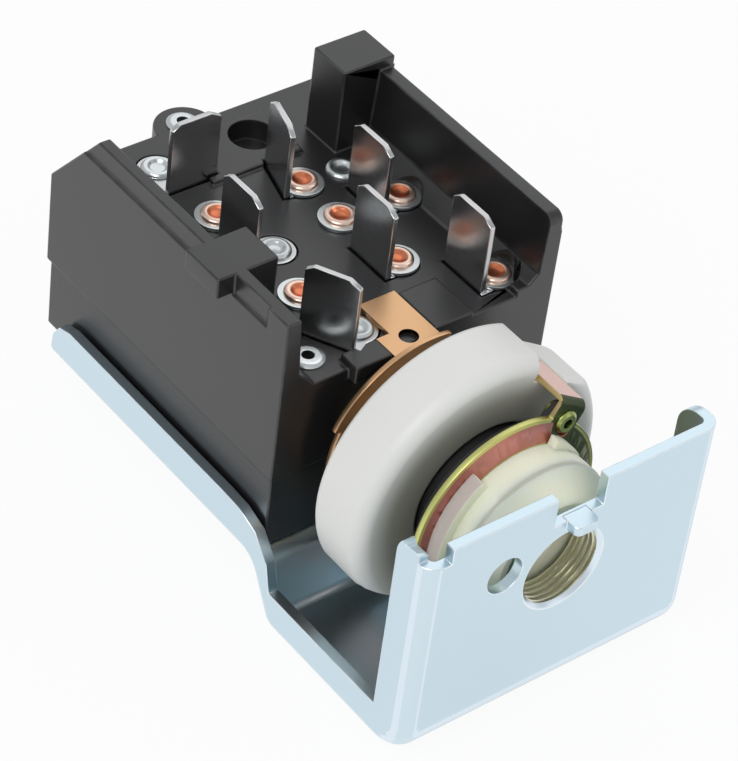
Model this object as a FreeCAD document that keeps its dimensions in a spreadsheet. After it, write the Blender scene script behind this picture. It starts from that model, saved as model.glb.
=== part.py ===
import FreeCAD, Part
import math
import os
import Sketcher
from FreeCAD import Placement, Rotation, Vector

# Headlight switch: a steel bracket carries a moulded contact case and a turning rheostat dial.
# Millimetres, +Z up, the panel side faces -Y. The origin lies on the axis of the threaded
# collar, in the plane of the front plate's inner face.

SIZES = {
    # Folded and drawn steel bracket
    "sheet": 1.5, "width": 44.45, "shift": 0.6, "plate_top": 12.3, "floor_front": 20.9,
    "floor_rear": 13.0, "joggle_start": 26.3, "joggle_run": 4.4, "rear_step": 4.2,
    "front_bend": 5.6, "joggle_bend": 3.0, "edge_bend": 2.3, "flange_depth": 6.0,
    "flange_corner": 3.2, "lip_height": 6.0, "lip_rear_height": 6.8, "lip_ease": 0.6, "relief_width": 3.3,
    "relief_depth": 2.3, "notch_width": 7.5, "notch_depth": 4.3, "notch_shift": 1.0,
    "tab_width": 3.6, "tab_reach": 1.9, "tab_thick": 1.2, "tab_round": 0.9,
    "collar_bore": 5.52, "collar_wall": 0.85, "collar_reach": 3.1, "collar_lip": 0.6,
    "pin_hole": 2.6, "pin_hole_x": 9.5, "pin_hole_z": 3.6,
    # Moulded case, upper and lower halves
    "case_front": 29.5, "case_length": 49.0, "left_inset": 2.175, "right_inset": 0.125,
    "lower_inset": 1.0, "case_chamfer": 0.9, "parting": 1.6, "deck": 12.2, "wall_top": 23.2,
    "wall_left": 2.05, "wall_right": 2.2, "wall_draft": 0.6, "gusset": 2.4,
    "rear_slope_y": 9.3, "strip_height": 3.0, "strip_set": 0.35, "right_set": 0.2, "lug_y": 40.4,
    "lug_length": 6.7, "lug_out": 2.2, "lug_in": 4.6, "post_width": 8.1, "post_length": 6.5,
    "post_top": 24.8, "post_rear": 8.0, "ear_x": 0.4, "ear_radius": 4.2, "ear_set": 0.3,
    "spare_hole": 3.1, "spare_hole_x": 6.4, "spare_hole_rear": 6.6, "spare_turn": 36.0,
    "spare_hole_depth": 3.0, "raised": 0.6, "chamber_left": 11.2, "chamber_right": 18.2,
    "chamber_front": 3.0, "chamber_rear": 3.0, "chamber_top": 8.0, "case_floor": 1.8, "case_step": 0.4,
    "boss_wall": 2.6, "ledge_width": 5.4, "ledge_out": 1.5, "ledge_in": 1.8, "pad_middle": 3.4,
    "pad_width": 14.0, "pad_length": 9.4, "pad_rear": 2.9, "pad_front_right": 9.3,
    "pad_front_rear": 37.2, "stop_left": 16.1, "stop_width": 3.9, "stop_length": 1.7,
    "stop_high": 1.0, "wall_nose": 1.4,
    # Turning rheostat dial
    "dial_radius": 18.7, "dial_front": 14.1, "dial_thick": 8.8, "dial_edge": 2.2,
    "dial_bore": 8.2, "dish_radius": 9.6, "dish_depth": 1.2, "coil_ring": 13.4,
    "coil_radius": 1.1, "coil_proud": 0.5, "arm_angle": 57.0, "arm_width": 4.9,
    "arm_thick": 0.8, "arm_seat": 15.6, "arm_bend": 1.3, "arm_hook": 1.0, "seat_gap": 0.8,
    "ring_front": 9.5, "ring_radius": 13.7, "ring_thick": 0.8, "ring_hole": 8.5,
    "ring_rise": 1.1, "ring_rim": 0.5, "eyelet_ring": 13.5, "eyelet_radius": 1.1,
    "eyelet_bore": 0.65, "fibre_radius": 13.0, "fibre_thick": 1.2, "sleeve_radius": 9.4,
    "hub_front": 3.7, "hub_radius": 11.0, "cam_radius": 12.4, "cam_thick": 2.4,
    "cam_start": 124.0, "cam_sweep": 206.0, "hub_edge": 0.6, "shoulder": 7.0,
    "journal": 5.4, "hub_bore": 3.2, "fit": 0.1, "clip_thick": 0.8, "clip_radius": 7.2,
    "clip_seat": 4.8,
    # Bronze wiper plate
    "wiper_y": 26.2, "wiper_thick": 0.7, "wiper_radius": 15.0, "wiper_bore": 8.4,
    "wiper_start": 79.0, "wiper_sweep": 129.0, "wide_sweep": 77.0, "wiper_inner": 14.0, "tip_radius": 0.8, "tip_lift": 0.55,
    "tongue_left": 4.3, "tongue_right": 3.2, "tongue_rear": 37.7, "tongue_hole": 1.25, "tongue_step": 2.0,
    "tongue_hole_x": 0.5, "tongue_hole_y": 30.0, "finger_width": 2.6, "finger_length": 8.0,
    "finger_in": 2.3,
    # Spade terminals, rivets and washers
    "blade_width": 7.4, "blade_thick": 0.8, "blade_top": 22.7, "blade_chamfer": 1.6,
    "blade_rise": 0.9, "foot_width": 4.4, "foot_reach": 2.7, "well_gap": 0.2,
    "rivet_head": 2.2, "rivet_high": 0.6, "rivet_stem": 1.3, "rivet_hole": 1.33,
    "pin_share": 0.62, "rivet_tail": 1.65, "tail_high": 0.7, "washer_radius": 2.9,
    "washer_thick": 0.5,
    # Contact slide and its travel
    "slide_length": 26.0, "slide_rear_gap": 3.2, "slide_top": 4.5, "slide_play": 0.08,
    "travel": 12.5, "shaft_bore": 3.3, "channel": 4.4, "channel_high": 4.1,
    "bridge_width": 5.2, "bridge_length": 9.5, "bridge_thick": 0.8, "bridge_play": 0.05,
    "spring_radius": 1.5, "spring_wire": 0.45, "spring_well": 2.1, "spring_depth": 3.0,
    "ball_radius": 1.5, "ball_y": 60.0, "ball_z": 7.0, "ball_depth": 5.6,
    "detent_depth": 0.5, "latch_half": 4.0, "latch_thick": 0.8, "latch_y": 66.0,
    "latch_low": 7.7, "blade_strip": 5.0, "strip_thick": 0.5, "strip_gap": 4.25,
    # Release button under the case
    "button_stem": 2.4, "button_room": 0.6, "button_cap": 4.5, "button_cap_thick": 1.2, "button_gap": 3.6,
    "button_y": 53.5, "button_top": 9.9, "button_clip": 4.0, "button_spring": 3.7,
}

FAR = 200.0
STEPS_A_TURN = 12
PAST = 5.0

doc = FreeCAD.newDocument("headlight_switch")
sheet = doc.addObject("Spreadsheet::Sheet", "sizes")


class Size:
    # A length that knows both its present value and the cell expression it comes from.
    def __init__(self, value, text):
        self.value = value
        self.text = text

    def __add__(self, other):
        return joined(self, other, "+", lambda a, b: a + b)

    def __radd__(self, other):
        return joined(other, self, "+", lambda a, b: a + b)

    def __sub__(self, other):
        return joined(self, other, "-", lambda a, b: a - b)

    def __rsub__(self, other):
        return joined(other, self, "-", lambda a, b: a - b)

    def __mul__(self, other):
        return joined(self, other, "*", lambda a, b: a * b)

    def __truediv__(self, other):
        return joined(self, other, "/", lambda a, b: a / b)

    def __neg__(self):
        return Size(-self.value, f"(0 - {self.text})")


def sized(item):
    return item if isinstance(item, Size) else Size(float(item), f"({float(item):.6f})")


def joined(first, second, sign, work):
    a, b = sized(first), sized(second)
    return Size(work(a.value, b.value), f"({a.text} {sign} {b.text})")


def write_sheet():
    for row, (name, value) in enumerate(SIZES.items(), start=1):
        sheet.set(f"A{row}", name)
        sheet.set(f"B{row}", str(value))
        sheet.setAlias(f"B{row}", name)
    doc.recompute()


class Sizes:
    # Gives each driving dimension by its name, such as s.sheet.
    def __getattr__(self, name):
        return Size(SIZES[name], f"sizes.{name}")


s = Sizes()
write_sheet()
pieces = {}

case_rear = s.case_front + s.case_length
bracket_rear = case_rear - s.rear_step
case_left = s.left_inset - s.width / 2
case_right = s.width / 2 - s.right_inset
lower_right = case_right - s.lower_inset

# Each terminal blade: its middle on the deck, the turn of its foot, its rivet and its extra height
TERMINALS = [
    ("terminal_1", (-5.9, case_rear - 10.5), 90.0, (-7.8, case_rear - 5.9), 0.0),
    ("terminal_2", (4.0, 63.1), -16.0, (6.3, 60.9), 0.0),
    ("terminal_3", (-8.8, 53.8), 0.0, (-4.4, 52.0), 0.0),
    ("terminal_4", (11.4, 53.9), 0.0, (15.6, 52.6), 0.0),
    ("terminal_5", (4.4, 44.0), 0.0, (7.4, 42.5), 0.0),
    ("terminal_6", (13.0, 36.0), 0.0, (16.3, 34.2), 0.6),
    ("terminal_7", (-9.1, 35.0), 28.0, (-4.7, 34.8), 0.0),
]
CONTACT_RIVETS = [(6.3, 60.9), (-7.0, 60.8), (6.3, 52.8), (15.6, 52.6), (7.4, 42.5),
                  (-6.9, 43.3), (16.3, 34.2)]
PLAIN_RIVETS = [(-4.4, 52.0), (-4.7, 34.8), (12.6, 60.7)]
BREAKER_RIVET = (-7.8, case_rear - 5.9)
CORNER_EYELET = (case_left + 7.05, 33.6)
FLOOR_RIVETS = [(case_left + 4.45, 68.0), (case_right - 2.5, 40.0)]
# The lips' upper edge behind the joggle and at the rear: the way along y, and the drop
LIP_RISE = [(0.4, 4.7), (3.2, 1.4), (6.6, 0.2), (10.4, 0.0)]
LIP_FALL = [(4.0, 0.0), (1.6, 0.7), (0.3, 2.6), (0.0, 5.0)]
BRIDGES = [(-5.6, 52.8), (6.6, 57.0), (14.6, 56.5)]


def bind(thing, prop, size):
    thing.setExpression(prop, sized(size).text)


def place(thing, x=0.0, y=0.0, z=0.0, axis=None, angle=0.0):
    base = [sized(item) for item in (x, y, z)]
    turn = Rotation(axis, angle) if axis else Rotation()
    thing.Placement = Placement(Vector(*[item.value for item in base]), turn)
    for letter, item in zip("xyz", base):
        bind(thing, f"Placement.Base.{letter}", item)
    return thing


def box(name, x0, x1, y0, y1, z0, z1):
    solid = doc.addObject("Part::Box", name)
    bind(solid, "Length", sized(x1) - x0)
    bind(solid, "Width", sized(y1) - y0)
    bind(solid, "Height", sized(z1) - z0)
    return place(solid, x0, y0, z0)


def rod(name, radius, x, y, z, length, along="y"):
    # A cylinder that starts at x, y, z and runs in the positive direction of one axis.
    solid = doc.addObject("Part::Cylinder", name)
    bind(solid, "Radius", radius)
    bind(solid, "Height", length)
    turns = {"x": (Vector(0, 1, 0), 90), "y": (Vector(1, 0, 0), -90), "z": (None, 0)}
    axis, angle = turns[along]
    return place(solid, x, y, z, axis, angle)


def joined_shape(name, items):
    fused = doc.addObject("Part::MultiFuse", name)
    fused.Shapes = items
    fused.Refine = True
    return fused


def cut(name, base, tools):
    tool = tools[0] if len(tools) == 1 else joined_shape(f"{name}_tools", tools)
    result = doc.addObject("Part::Cut", name)
    result.Base = base
    result.Tool = tool
    return result


def together(name, items):
    # Holds separate solids that make one node, such as a set of rivets.
    group = doc.addObject("Part::Compound", name)
    group.Links = items
    return group


def keep(node, thing):
    thing.Label = node
    pieces[node] = thing
    return thing


def polar_box(name, x0, x1, y0, y1, z0, z1, angle):
    # A box laid along +X and then turned about the dial's axis towards +Z.
    solid = doc.addObject("Part::Box", name)
    bind(solid, "Length", sized(x1) - x0)
    bind(solid, "Width", sized(y1) - y0)
    bind(solid, "Height", sized(z1) - z0)
    base_x, base_z = turned_point(x0, z0, angle)
    return place(solid, base_x, y0, base_z, Vector(0, -1, 0), angle)


def turned_point(x, z, angle):
    cosine, sine = math.cos(math.radians(angle)), math.sin(math.radians(angle))
    return sized(x) * cosine - sized(z) * sine, sized(x) * sine + sized(z) * cosine


def deck_box(name, middle, turn, u0, u1, v0, v1, z0, z1):
    # A box on the deck: u runs across the turn direction and v along it.
    solid = doc.addObject("Part::Box", name)
    bind(solid, "Length", sized(u1) - u0)
    bind(solid, "Width", sized(v1) - v0)
    bind(solid, "Height", sized(z1) - z0)
    cosine, sine = math.cos(math.radians(turn)), math.sin(math.radians(turn))
    base_x = sized(u0) * cosine - sized(v0) * sine + middle[0]
    base_y = sized(u0) * sine + sized(v0) * cosine + middle[1]
    return place(solid, base_x, base_y, z0, Vector(0, 0, 1), turn)


def solid_body(name):
    return doc.addObject("PartDesign::Body", name)


def sketch_on(body, role, offset=0.0):
    drawing = body.newObject("Sketcher::SketchObject", f"{body.Name}_sketch")
    planes = [item for item in body.Origin.OriginFeatures if item.Role == role]
    drawing.AttachmentSupport = [(planes[0], "")]
    drawing.MapMode = "FlatFace"
    drawing.AttachmentOffset = Placement(Vector(0, 0, sized(offset).value), Rotation())
    bind(drawing, "AttachmentOffset.Base.z", offset)
    return drawing


def outline(drawing, points):
    # A closed run of straight lines whose corners are held by bound distances.
    corners = [(sized(x), sized(y)) for x, y in points]
    lines = []
    for number, (x, y) in enumerate(corners):
        far_x, far_y = corners[(number + 1) % len(corners)]
        line = Part.LineSegment(Vector(x.value, y.value, 0), Vector(far_x.value, far_y.value, 0))
        lines.append(drawing.addGeometry(line, False))
    for number, line in enumerate(lines):
        after = lines[(number + 1) % len(lines)]
        drawing.addConstraint(Sketcher.Constraint("Coincident", line, 2, after, 1))
    for line, (x, y) in zip(lines, corners):
        for kind, size in (("DistanceX", x), ("DistanceY", y)):
            index = drawing.addConstraint(Sketcher.Constraint(kind, -1, 1, line, 1, size.value))
            drawing.setExpression(f"Constraints[{index}]", size.text)
    return drawing


def pad(body, drawing, length, middle=False, back=False):
    feature = body.newObject("PartDesign::Pad", f"{body.Name}_pad")
    feature.Profile = drawing
    bind(feature, "Length", length)
    feature.Midplane = middle
    feature.Reversed = back
    return feature


def pocket(body, drawing, length, middle=False, back=False):
    feature = body.newObject("PartDesign::Pocket", f"{body.Name}_pocket")
    feature.Profile = drawing
    bind(feature, "Length", length)
    feature.Midplane = middle
    feature.Reversed = back
    return feature


def spin(body, drawing, role="Y_Axis"):
    feature = body.newObject("PartDesign::Revolution", f"{body.Name}_turned")
    feature.Profile = drawing
    axis = [item for item in body.Origin.OriginFeatures if item.Role == role][0]
    feature.ReferenceAxis = (axis, [""])
    feature.Angle = 360.0
    return feature


def rounded(body, feature, radius, chosen):
    # Rounds the edges of a feature for which chosen(edge) holds.
    doc.recompute()
    names = [f"Edge{n}" for n, edge in enumerate(feature.Shape.Edges, start=1) if chosen(edge)]
    fillet = body.newObject("PartDesign::Fillet", f"{body.Name}_round")
    fillet.Base = (feature, names)
    bind(fillet, "Radius", radius)
    return fillet


def near(value, target, slack=0.02):
    return abs(value - target) < slack


def bracket():
    body = solid_body("bracket_body")
    face = -s.sheet
    low_front = -(s.floor_front + s.sheet)
    low_rear = -(s.floor_rear + s.sheet)
    crest = s.joggle_start + s.joggle_run
    side = outline(sketch_on(body, "YZ_Plane"), [
        (face, s.plate_top), (face, low_front), (s.joggle_start, low_front),
        (crest, low_rear), (bracket_rear, low_rear), (bracket_rear, s.plate_top)])
    block = pad(body, side, s.width, middle=True)
    half = s.width.value / 2

    def crosses(edge, y, z):
        middle = edge.CenterOfMass
        return near(middle.x, 0) and near(middle.y, y.value) and near(middle.z, z.value)

    bend = rounded(body, block, s.front_bend, lambda e: crosses(e, face, low_front))
    joggle = rounded(body, bend, s.joggle_bend, lambda e: crosses(
        e, s.joggle_start, low_front) or crosses(e, crest, low_rear))

    def drawn(edge):
        points = [v.Point for v in edge.Vertexes]
        at_side = near(abs(edge.CenterOfMass.x), half)
        upright = all(near(p.y, face.value) for p in points)
        bottom = all(p.z < low_rear.value + 0.1 for p in points)
        corner = all(p.z < low_front.value + s.front_bend.value + 0.1 for p in points) and all(
            p.y < face.value + s.front_bend.value + 0.1 for p in points)
        return at_side and (upright or bottom or corner)

    drawn_edges = rounded(body, joggle, s.edge_bend, drawn)
    doc.recompute()
    shell = body.newObject("PartDesign::Thickness", "bracket_shell")
    open_faces = [f"Face{n}" for n, f in enumerate(drawn_edges.Shape.Faces, start=1)
                  if near(f.CenterOfMass.z, s.plate_top.value) or near(
                      f.CenterOfMass.y, bracket_rear.value)]
    shell.Base = (drawn_edges, open_faces)
    bind(shell, "Value", s.sheet)
    shell.Reversed = True
    shell.Mode = 0
    shell.Join = 1
    # The flanges end behind the plate, and the lips follow the joggle of the floor
    flange_rear = face + s.flange_depth
    lip_front = low_front + s.lip_height
    lip_rear = low_rear + s.lip_rear_height
    above = s.plate_top + PAST
    lips = outline(sketch_on(body, "YZ_Plane"), [
        (flange_rear, above), (flange_rear, lip_front), (s.joggle_start - s.lip_ease, lip_front)]
        + [(s.joggle_start + along, lip_rear - drop) for along, drop in LIP_RISE]
        + [(bracket_rear - along, lip_rear - drop) for along, drop in LIP_FALL]
        + [(bracket_rear + PAST, lip_rear - LIP_FALL[-1][1]), (bracket_rear + PAST, above)])
    trimmed = pocket(body, lips, s.width + 4, middle=True)
    top_round = rounded(body, trimmed, s.flange_corner, lambda e: near(
        e.CenterOfMass.y, flange_rear.value) and near(e.CenterOfMass.z, s.plate_top.value))
    body.Tip = top_round
    place(body, s.shift, 0, 0)
    # Notch, key tab, corner relief, threaded collar and locating hole
    notch_left = s.notch_shift - s.notch_width / 2
    notch_right = s.notch_shift + s.notch_width / 2
    notch_floor = s.plate_top - s.notch_depth
    edge_left = s.shift - s.width / 2
    notch = box("notch", notch_left, notch_right, face - PAST, s.sheet, notch_floor, above)
    relief = box("relief", edge_left - PAST, edge_left + s.relief_width, face - PAST, s.sheet * 0.4,
                 s.plate_top - s.relief_depth, above)
    collar_radius = s.collar_bore + s.collar_wall
    collar = rod("collar_tube", collar_radius, 0, -s.sheet / 2, 0, s.collar_reach + s.sheet / 2)
    tab = solid_body("key_tab")
    tab_left, tab_right = s.notch_shift - s.tab_width / 2, s.notch_shift + s.tab_width / 2
    tab_front = face - s.tab_reach
    shape = outline(sketch_on(tab, "XY_Plane", notch_floor - s.tab_thick), [
        (tab_left, tab_front), (tab_right, tab_front), (tab_right, -s.sheet / 3),
        (tab_left, -s.sheet / 3)])
    tongue = pad(tab, shape, s.tab_thick + 0.1)
    tab.Tip = rounded(tab, tongue, s.tab_round, lambda e: near(
        e.CenterOfMass.y, tab_front.value) and near(
            abs(e.CenterOfMass.x - s.notch_shift.value), s.tab_width.value / 2))
    shaped = cut("bracket_trim", body, [notch, relief])
    whole = joined_shape("bracket_whole", [shaped, collar, tab])
    bore = rod("collar_hole", s.collar_bore, 0, face - PAST, 0, s.collar_reach + s.sheet + PAST * 2)
    mouth = doc.addObject("Part::Cone", "collar_mouth")
    bind(mouth, "Radius1", s.collar_bore + s.collar_lip)
    bind(mouth, "Radius2", s.collar_bore)
    bind(mouth, "Height", s.collar_lip)
    place(mouth, 0, face, 0, Vector(1, 0, 0), -90)
    locator = rod("locating_hole", s.pin_hole, -s.pin_hole_x, face - PAST, s.pin_hole_z, s.sheet + PAST * 2)
    press = rod("button_hole", s.button_stem + s.button_room, 0, s.button_y, low_rear - PAST,
                s.sheet + PAST * 2, "z")
    openings = [bore, mouth, locator, press]
    for number, (x, y) in enumerate([CORNER_EYELET] + FLOOR_RIVETS):
        stem = s.rivet_hole if number == 0 else s.rivet_hole * SIZES["pin_share"]
        openings.append(rod(f"floor_hole_{number}", stem, x, y, low_rear - PAST, s.sheet + PAST * 2, "z"))
    openings.append(rod("eyelet_flat", s.rivet_head + s.fit, CORNER_EYELET[0], CORNER_EYELET[1],
                        low_rear - PAST, PAST, "z"))
    return keep("bracket", cut("bracket_open", whole, openings))


def spring(name, x, y, z, radius, wire, height, turns, along="z"):
    # A wire wound in short straight steps, from x, y, z in the positive direction of one axis.
    ways = {"x": (Vector(0, 1, 0), 90), "y": (Vector(1, 0, 0), -90), "z": (None, 0)}
    wide, high = sized(radius).value, sized(height).value
    steps = int(turns * STEPS_A_TURN)
    path = doc.addObject("Part::Polygon", f"{name}_path")
    angles = [2 * math.pi * n / STEPS_A_TURN for n in range(steps + 1)]
    path.Nodes = [Vector(wide * math.cos(angle), wide * math.sin(angle), high * n / steps)
                  for n, angle in enumerate(angles)]
    path.Close = False
    section = doc.addObject("Part::RegularPolygon", f"{name}_section")
    section.Polygon = 6
    bind(section, "Circumradius", sized(wire) / 2)
    place(section, radius, 0, 0, Vector(1, 0, 0), 90)
    wound = doc.addObject("Part::Sweep", f"{name}_wire")
    wound.Sections = [section]
    wound.Spine = (path, [f"Edge{n}" for n in range(1, steps + 1)])
    wound.Solid = True
    wound.Transition = "Right corner"
    axis, angle = ways[along]
    return place(wound, x, y, z, axis, angle)


def deck_parts(name, middle, turn, rivet, grow, low, high):
    # The blade slot and foot outline of one terminal, grown by a gap for its recess.
    dx, dy = rivet[0] - middle[0], rivet[1] - middle[1]
    cosine, sine = math.cos(math.radians(turn)), math.sin(math.radians(turn))
    along, across = dx * cosine + dy * sine, dy * cosine - dx * sine
    bar = deck_box(f"{name}_bar", middle, turn, -s.blade_thick / 2 - grow, along,
                   across - s.foot_width / 2 - grow, across + s.foot_width / 2 + grow, low, high)
    eye = rod(f"{name}_eye", s.foot_reach + grow, rivet[0], rivet[1], low, sized(high) - low, "z")
    return [bar, eye]


def terminal(name, middle, turn, rivet, taller):
    body = solid_body(f"{name}_blade")
    low = s.deck - s.blade_thick
    half = s.blade_width / 2
    top = s.blade_top + taller
    plate = outline(sketch_on(body, "YZ_Plane"), [
        (-half, low), (half, low), (half, top - s.blade_rise * 0.8),
        (half - s.blade_chamfer * 0.7, top), (-half + s.blade_chamfer, top),
        (-half, top - s.blade_rise)])
    pad(body, plate, s.blade_thick, middle=True)
    blade = place(body, middle[0], middle[1], 0, Vector(0, 0, 1), turn)
    foot = deck_parts(name, middle, turn, rivet, 0, low, s.deck)
    whole = joined_shape(f"{name}_whole", [blade] + foot)
    hole = rod(f"{name}_hole", s.rivet_hole, rivet[0], rivet[1], low - 1, 4, "z")
    keep(name, cut(f"{name}_shape", whole, [hole]))
    wells = deck_parts(f"{name}_well", middle, turn, rivet, s.well_gap, low, s.deck + 3)
    slot = deck_box(f"{name}_slot", middle, turn, -s.blade_thick / 2 - s.well_gap,
                    s.blade_thick / 2 + s.well_gap, -half - s.well_gap, half + s.well_gap,
                    low, s.deck + 3)
    return wells + [slot]


def terminal_block(recesses):
    left, right = case_left, case_right
    front, rear = s.case_front, case_rear
    body = solid_body("block_body")
    walls = outline(sketch_on(body, "XZ_Plane", -front), [
        (left, -s.parting), (right, -s.parting), (right, s.wall_top),
        (right - s.wall_right, s.wall_top),
        (right - s.wall_right - s.wall_draft, s.deck + s.gusset),
        (right - s.wall_right - s.wall_draft - s.gusset, s.deck),
        (left + s.wall_left + s.wall_draft + s.gusset, s.deck),
        (left + s.wall_left + s.wall_draft, s.deck + s.gusset),
        (left + s.wall_left, s.wall_top), (left, s.wall_top)])
    pad(body, walls, s.case_length, back=True)
    slope = outline(sketch_on(body, "YZ_Plane", left - PAST), [
        (rear - s.rear_slope_y, s.wall_top + PAST), (rear - s.rear_slope_y, s.wall_top),
        (rear, s.deck), (rear + PAST, s.deck), (rear + PAST, s.wall_top + PAST)])
    sloped = pocket(body, slope, PAST - left, back=True)
    body.Tip = sloped
    inner_right = right - s.wall_right - s.wall_draft - s.gusset
    tools = [
        box("clear_rear", inner_right - 1, right + PAST, rear - s.post_rear, rear + PAST,
            s.deck, s.wall_top + PAST),
        box("set_in_strip", left - 1, left + s.strip_set, front + 4, rear + 1,
            s.wall_top - s.strip_height, s.wall_top + PAST),
        box("upper_chamber", -s.chamber_left, s.chamber_right, front + s.chamber_front,
            rear - s.chamber_rear, -s.parting - 1, s.chamber_top),
        box("set_in_right", right - s.right_set, right + 1, front - 1, rear + 1,
            s.wall_top - s.strip_height * 0.9, s.wall_top + PAST)]
    nose = box("nose_corner", right - s.wall_right - 1, right + 1, front - 1, front + s.wall_nose,
               s.wall_top - s.wall_nose, s.wall_top + 1)
    nose_round = rod("nose_round", s.wall_nose, right - s.wall_right - 2, front + s.wall_nose,
                     s.wall_top - s.wall_nose, s.wall_right + PAST, "x")
    tools.append(cut("nose_shape", nose, [nose_round]))
    shell = cut("block_shell", body, tools)
    post_rear = rear - s.post_rear
    post = box("rear_post", right - s.post_width, right, post_rear - s.post_length, post_rear,
               s.deck - 1, s.post_top)
    lug = box("lock_lug", left - s.lug_out, left + s.wall_left + s.lug_in, s.lug_y,
              s.lug_y + s.lug_length, s.wall_top - s.strip_height, s.wall_top)
    lug_base = box("lug_base", left + s.wall_left / 2, left + s.wall_left + s.lug_in, s.lug_y,
                   s.lug_y + s.lug_length, s.deck - 0.5, s.wall_top)
    ear = rod("rear_ear", s.ear_radius, s.ear_x, rear - s.ear_set, -s.parting, s.deck + s.parting, "z")
    ledge_right = -s.tongue_left - s.well_gap
    ledge = box("tongue_ledge", ledge_right - s.ledge_width, ledge_right, front - s.ledge_out,
                front + s.ledge_in, s.deck - s.ledge_out, s.deck + s.wiper_thick + s.strip_set)
    pad_rear = box("rear_pad", s.pad_middle - s.pad_width / 2, s.pad_middle + s.pad_width / 2,
                   rear - s.pad_rear - s.pad_length, rear - s.pad_rear, s.deck - 0.5,
                   s.deck + s.raised)
    pad_front = box("front_pad", s.tongue_right + s.well_gap, s.pad_front_right, front,
                    s.pad_front_rear, s.deck - 0.5, s.deck + s.raised)
    stop = box("corner_stop", s.stop_left, s.stop_left + s.stop_width, front, front + s.stop_length,
               s.deck - 0.5, s.deck + s.stop_high)
    boss = rod("front_boss", s.journal + s.fit + s.boss_wall, 0, s.wiper_y + s.wiper_thick, 0,
               front - s.wiper_y - s.wiper_thick + 0.3)
    grown = joined_shape("block_grown", [shell, post, lug, lug_base, ear, ledge, pad_rear, pad_front,
                                          stop, boss])
    boss_hole = rod("boss_hole", s.journal + s.fit, 0, front - FAR / 10, 0,
                    s.chamber_front + FAR / 10 + 0.5)
    boss_lower = box("boss_lower_half", -FAR / 4, FAR / 4, front - FAR / 10, front + s.case_step,
                     -FAR / 4, -s.parting)
    spare_depth = s.spare_hole_depth
    spare_y = rear - s.spare_hole_rear
    spare = rod("spare_hole_round", s.spare_hole, s.spare_hole_x, spare_y,
                s.deck + s.raised - spare_depth, spare_depth + 1, "z")
    flat = deck_box("spare_hole_flat", (s.spare_hole_x, spare_y), -SIZES["spare_turn"],
                    s.spare_hole * 0.72, s.spare_hole * 2, -s.spare_hole * 2, s.spare_hole * 2,
                    s.deck - spare_depth, s.deck + spare_depth)
    trims = [boss_hole, boss_lower, cut("spare_hole_shape", spare, [flat])] + recesses
    for number, (x, y) in enumerate(CONTACT_RIVETS + PLAIN_RIVETS + [BREAKER_RIVET]):
        trims.append(rod(f"rivet_hole_{number}", s.rivet_hole, x, y, s.chamber_top - 1,
                         s.deck - s.chamber_top + 3, "z"))
    for number, (x, y) in enumerate([CORNER_EYELET] + FLOOR_RIVETS):
        stem = s.rivet_hole if number == 0 else s.rivet_hole * SIZES["pin_share"]
        top = s.deck + 3 if number == 0 else s.deck - 3
        trims.append(rod(f"case_rivet_hole_{number}", stem, x, y, -s.parting - 1,
                         top + s.parting + 1, "z"))
    trims.append(rod("eyelet_room", s.rivet_head + s.fit, CORNER_EYELET[0], CORNER_EYELET[1],
                     s.deck, PAST, "z"))
    trims.append(rod("ear_hole", s.rivet_hole, s.ear_x, rear + s.ear_set, -s.parting - 1,
                     s.deck + s.parting + 2, "z"))
    return keep("terminal_block", cut("terminal_block_shape", grown, trims))


def lower_case():
    left, right = case_left + s.case_step, lower_right
    front, rear = s.case_front + s.case_step, case_rear - s.case_step
    outer = solid_body("lower_outer")
    low, slant = -s.floor_rear, s.case_chamfer
    section = outline(sketch_on(outer, "XZ_Plane", -front), [
        (left, -s.parting), (left, low + slant), (left + slant, low), (right - slant, low),
        (right, low + slant), (right, -s.parting)])
    pad(outer, section, rear - front, back=True)
    ear = rod("lower_ear", s.ear_radius - s.case_step, s.ear_x, case_rear - s.ear_set,
              -s.floor_rear, s.floor_rear - s.parting, "z")
    grown = joined_shape("lower_grown", [outer, ear])
    floor = -s.floor_rear + s.case_floor
    tools = [
        box("lower_chamber", -s.chamber_left, s.chamber_right,
            s.case_front + s.chamber_front, case_rear - s.chamber_rear, floor,
            -s.parting + 1),
        rod("lower_journal", s.journal + s.fit, 0, front - PAST, 0, s.chamber_front + PAST + 1),
        rod("case_button_hole", s.button_stem + s.fit, 0, s.button_y, -s.floor_rear - 1,
            s.case_floor + 2, "z"),
        rod("lower_ear_hole", s.rivet_hole, s.ear_x, case_rear + s.ear_set,
            -s.floor_rear - 1, s.floor_rear + 2, "z")]
    for number, part in enumerate((0.0, 0.45, 1.0)):
        tools.append(rod(f"detent_{number}", s.ball_radius,
                         -s.chamber_left + s.ball_radius - s.detent_depth,
                         s.ball_y - s.travel * part, -s.ball_z - s.ball_radius - 1,
                         s.ball_radius * 2 + 2, "z"))
    for number, (x, y) in enumerate([CORNER_EYELET] + FLOOR_RIVETS):
        stem = s.rivet_hole if number == 0 else s.rivet_hole * SIZES["pin_share"]
        tools.append(rod(f"lower_rivet_hole_{number}", stem, x, y, -s.floor_rear - 1,
                         s.floor_rear + 2, "z"))
    return keep("lower_case", cut("lower_case_shape", grown, tools))


def ring_edge(radius, y):
    # Picks the circular edge of this radius that lies in the plane y.
    def chosen(edge):
        shape = edge.Curve
        return isinstance(shape, Part.Circle) and near(shape.Radius, radius.value, 0.02) and near(
            edge.CenterOfMass.y, y.value, 0.02)
    return chosen


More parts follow.
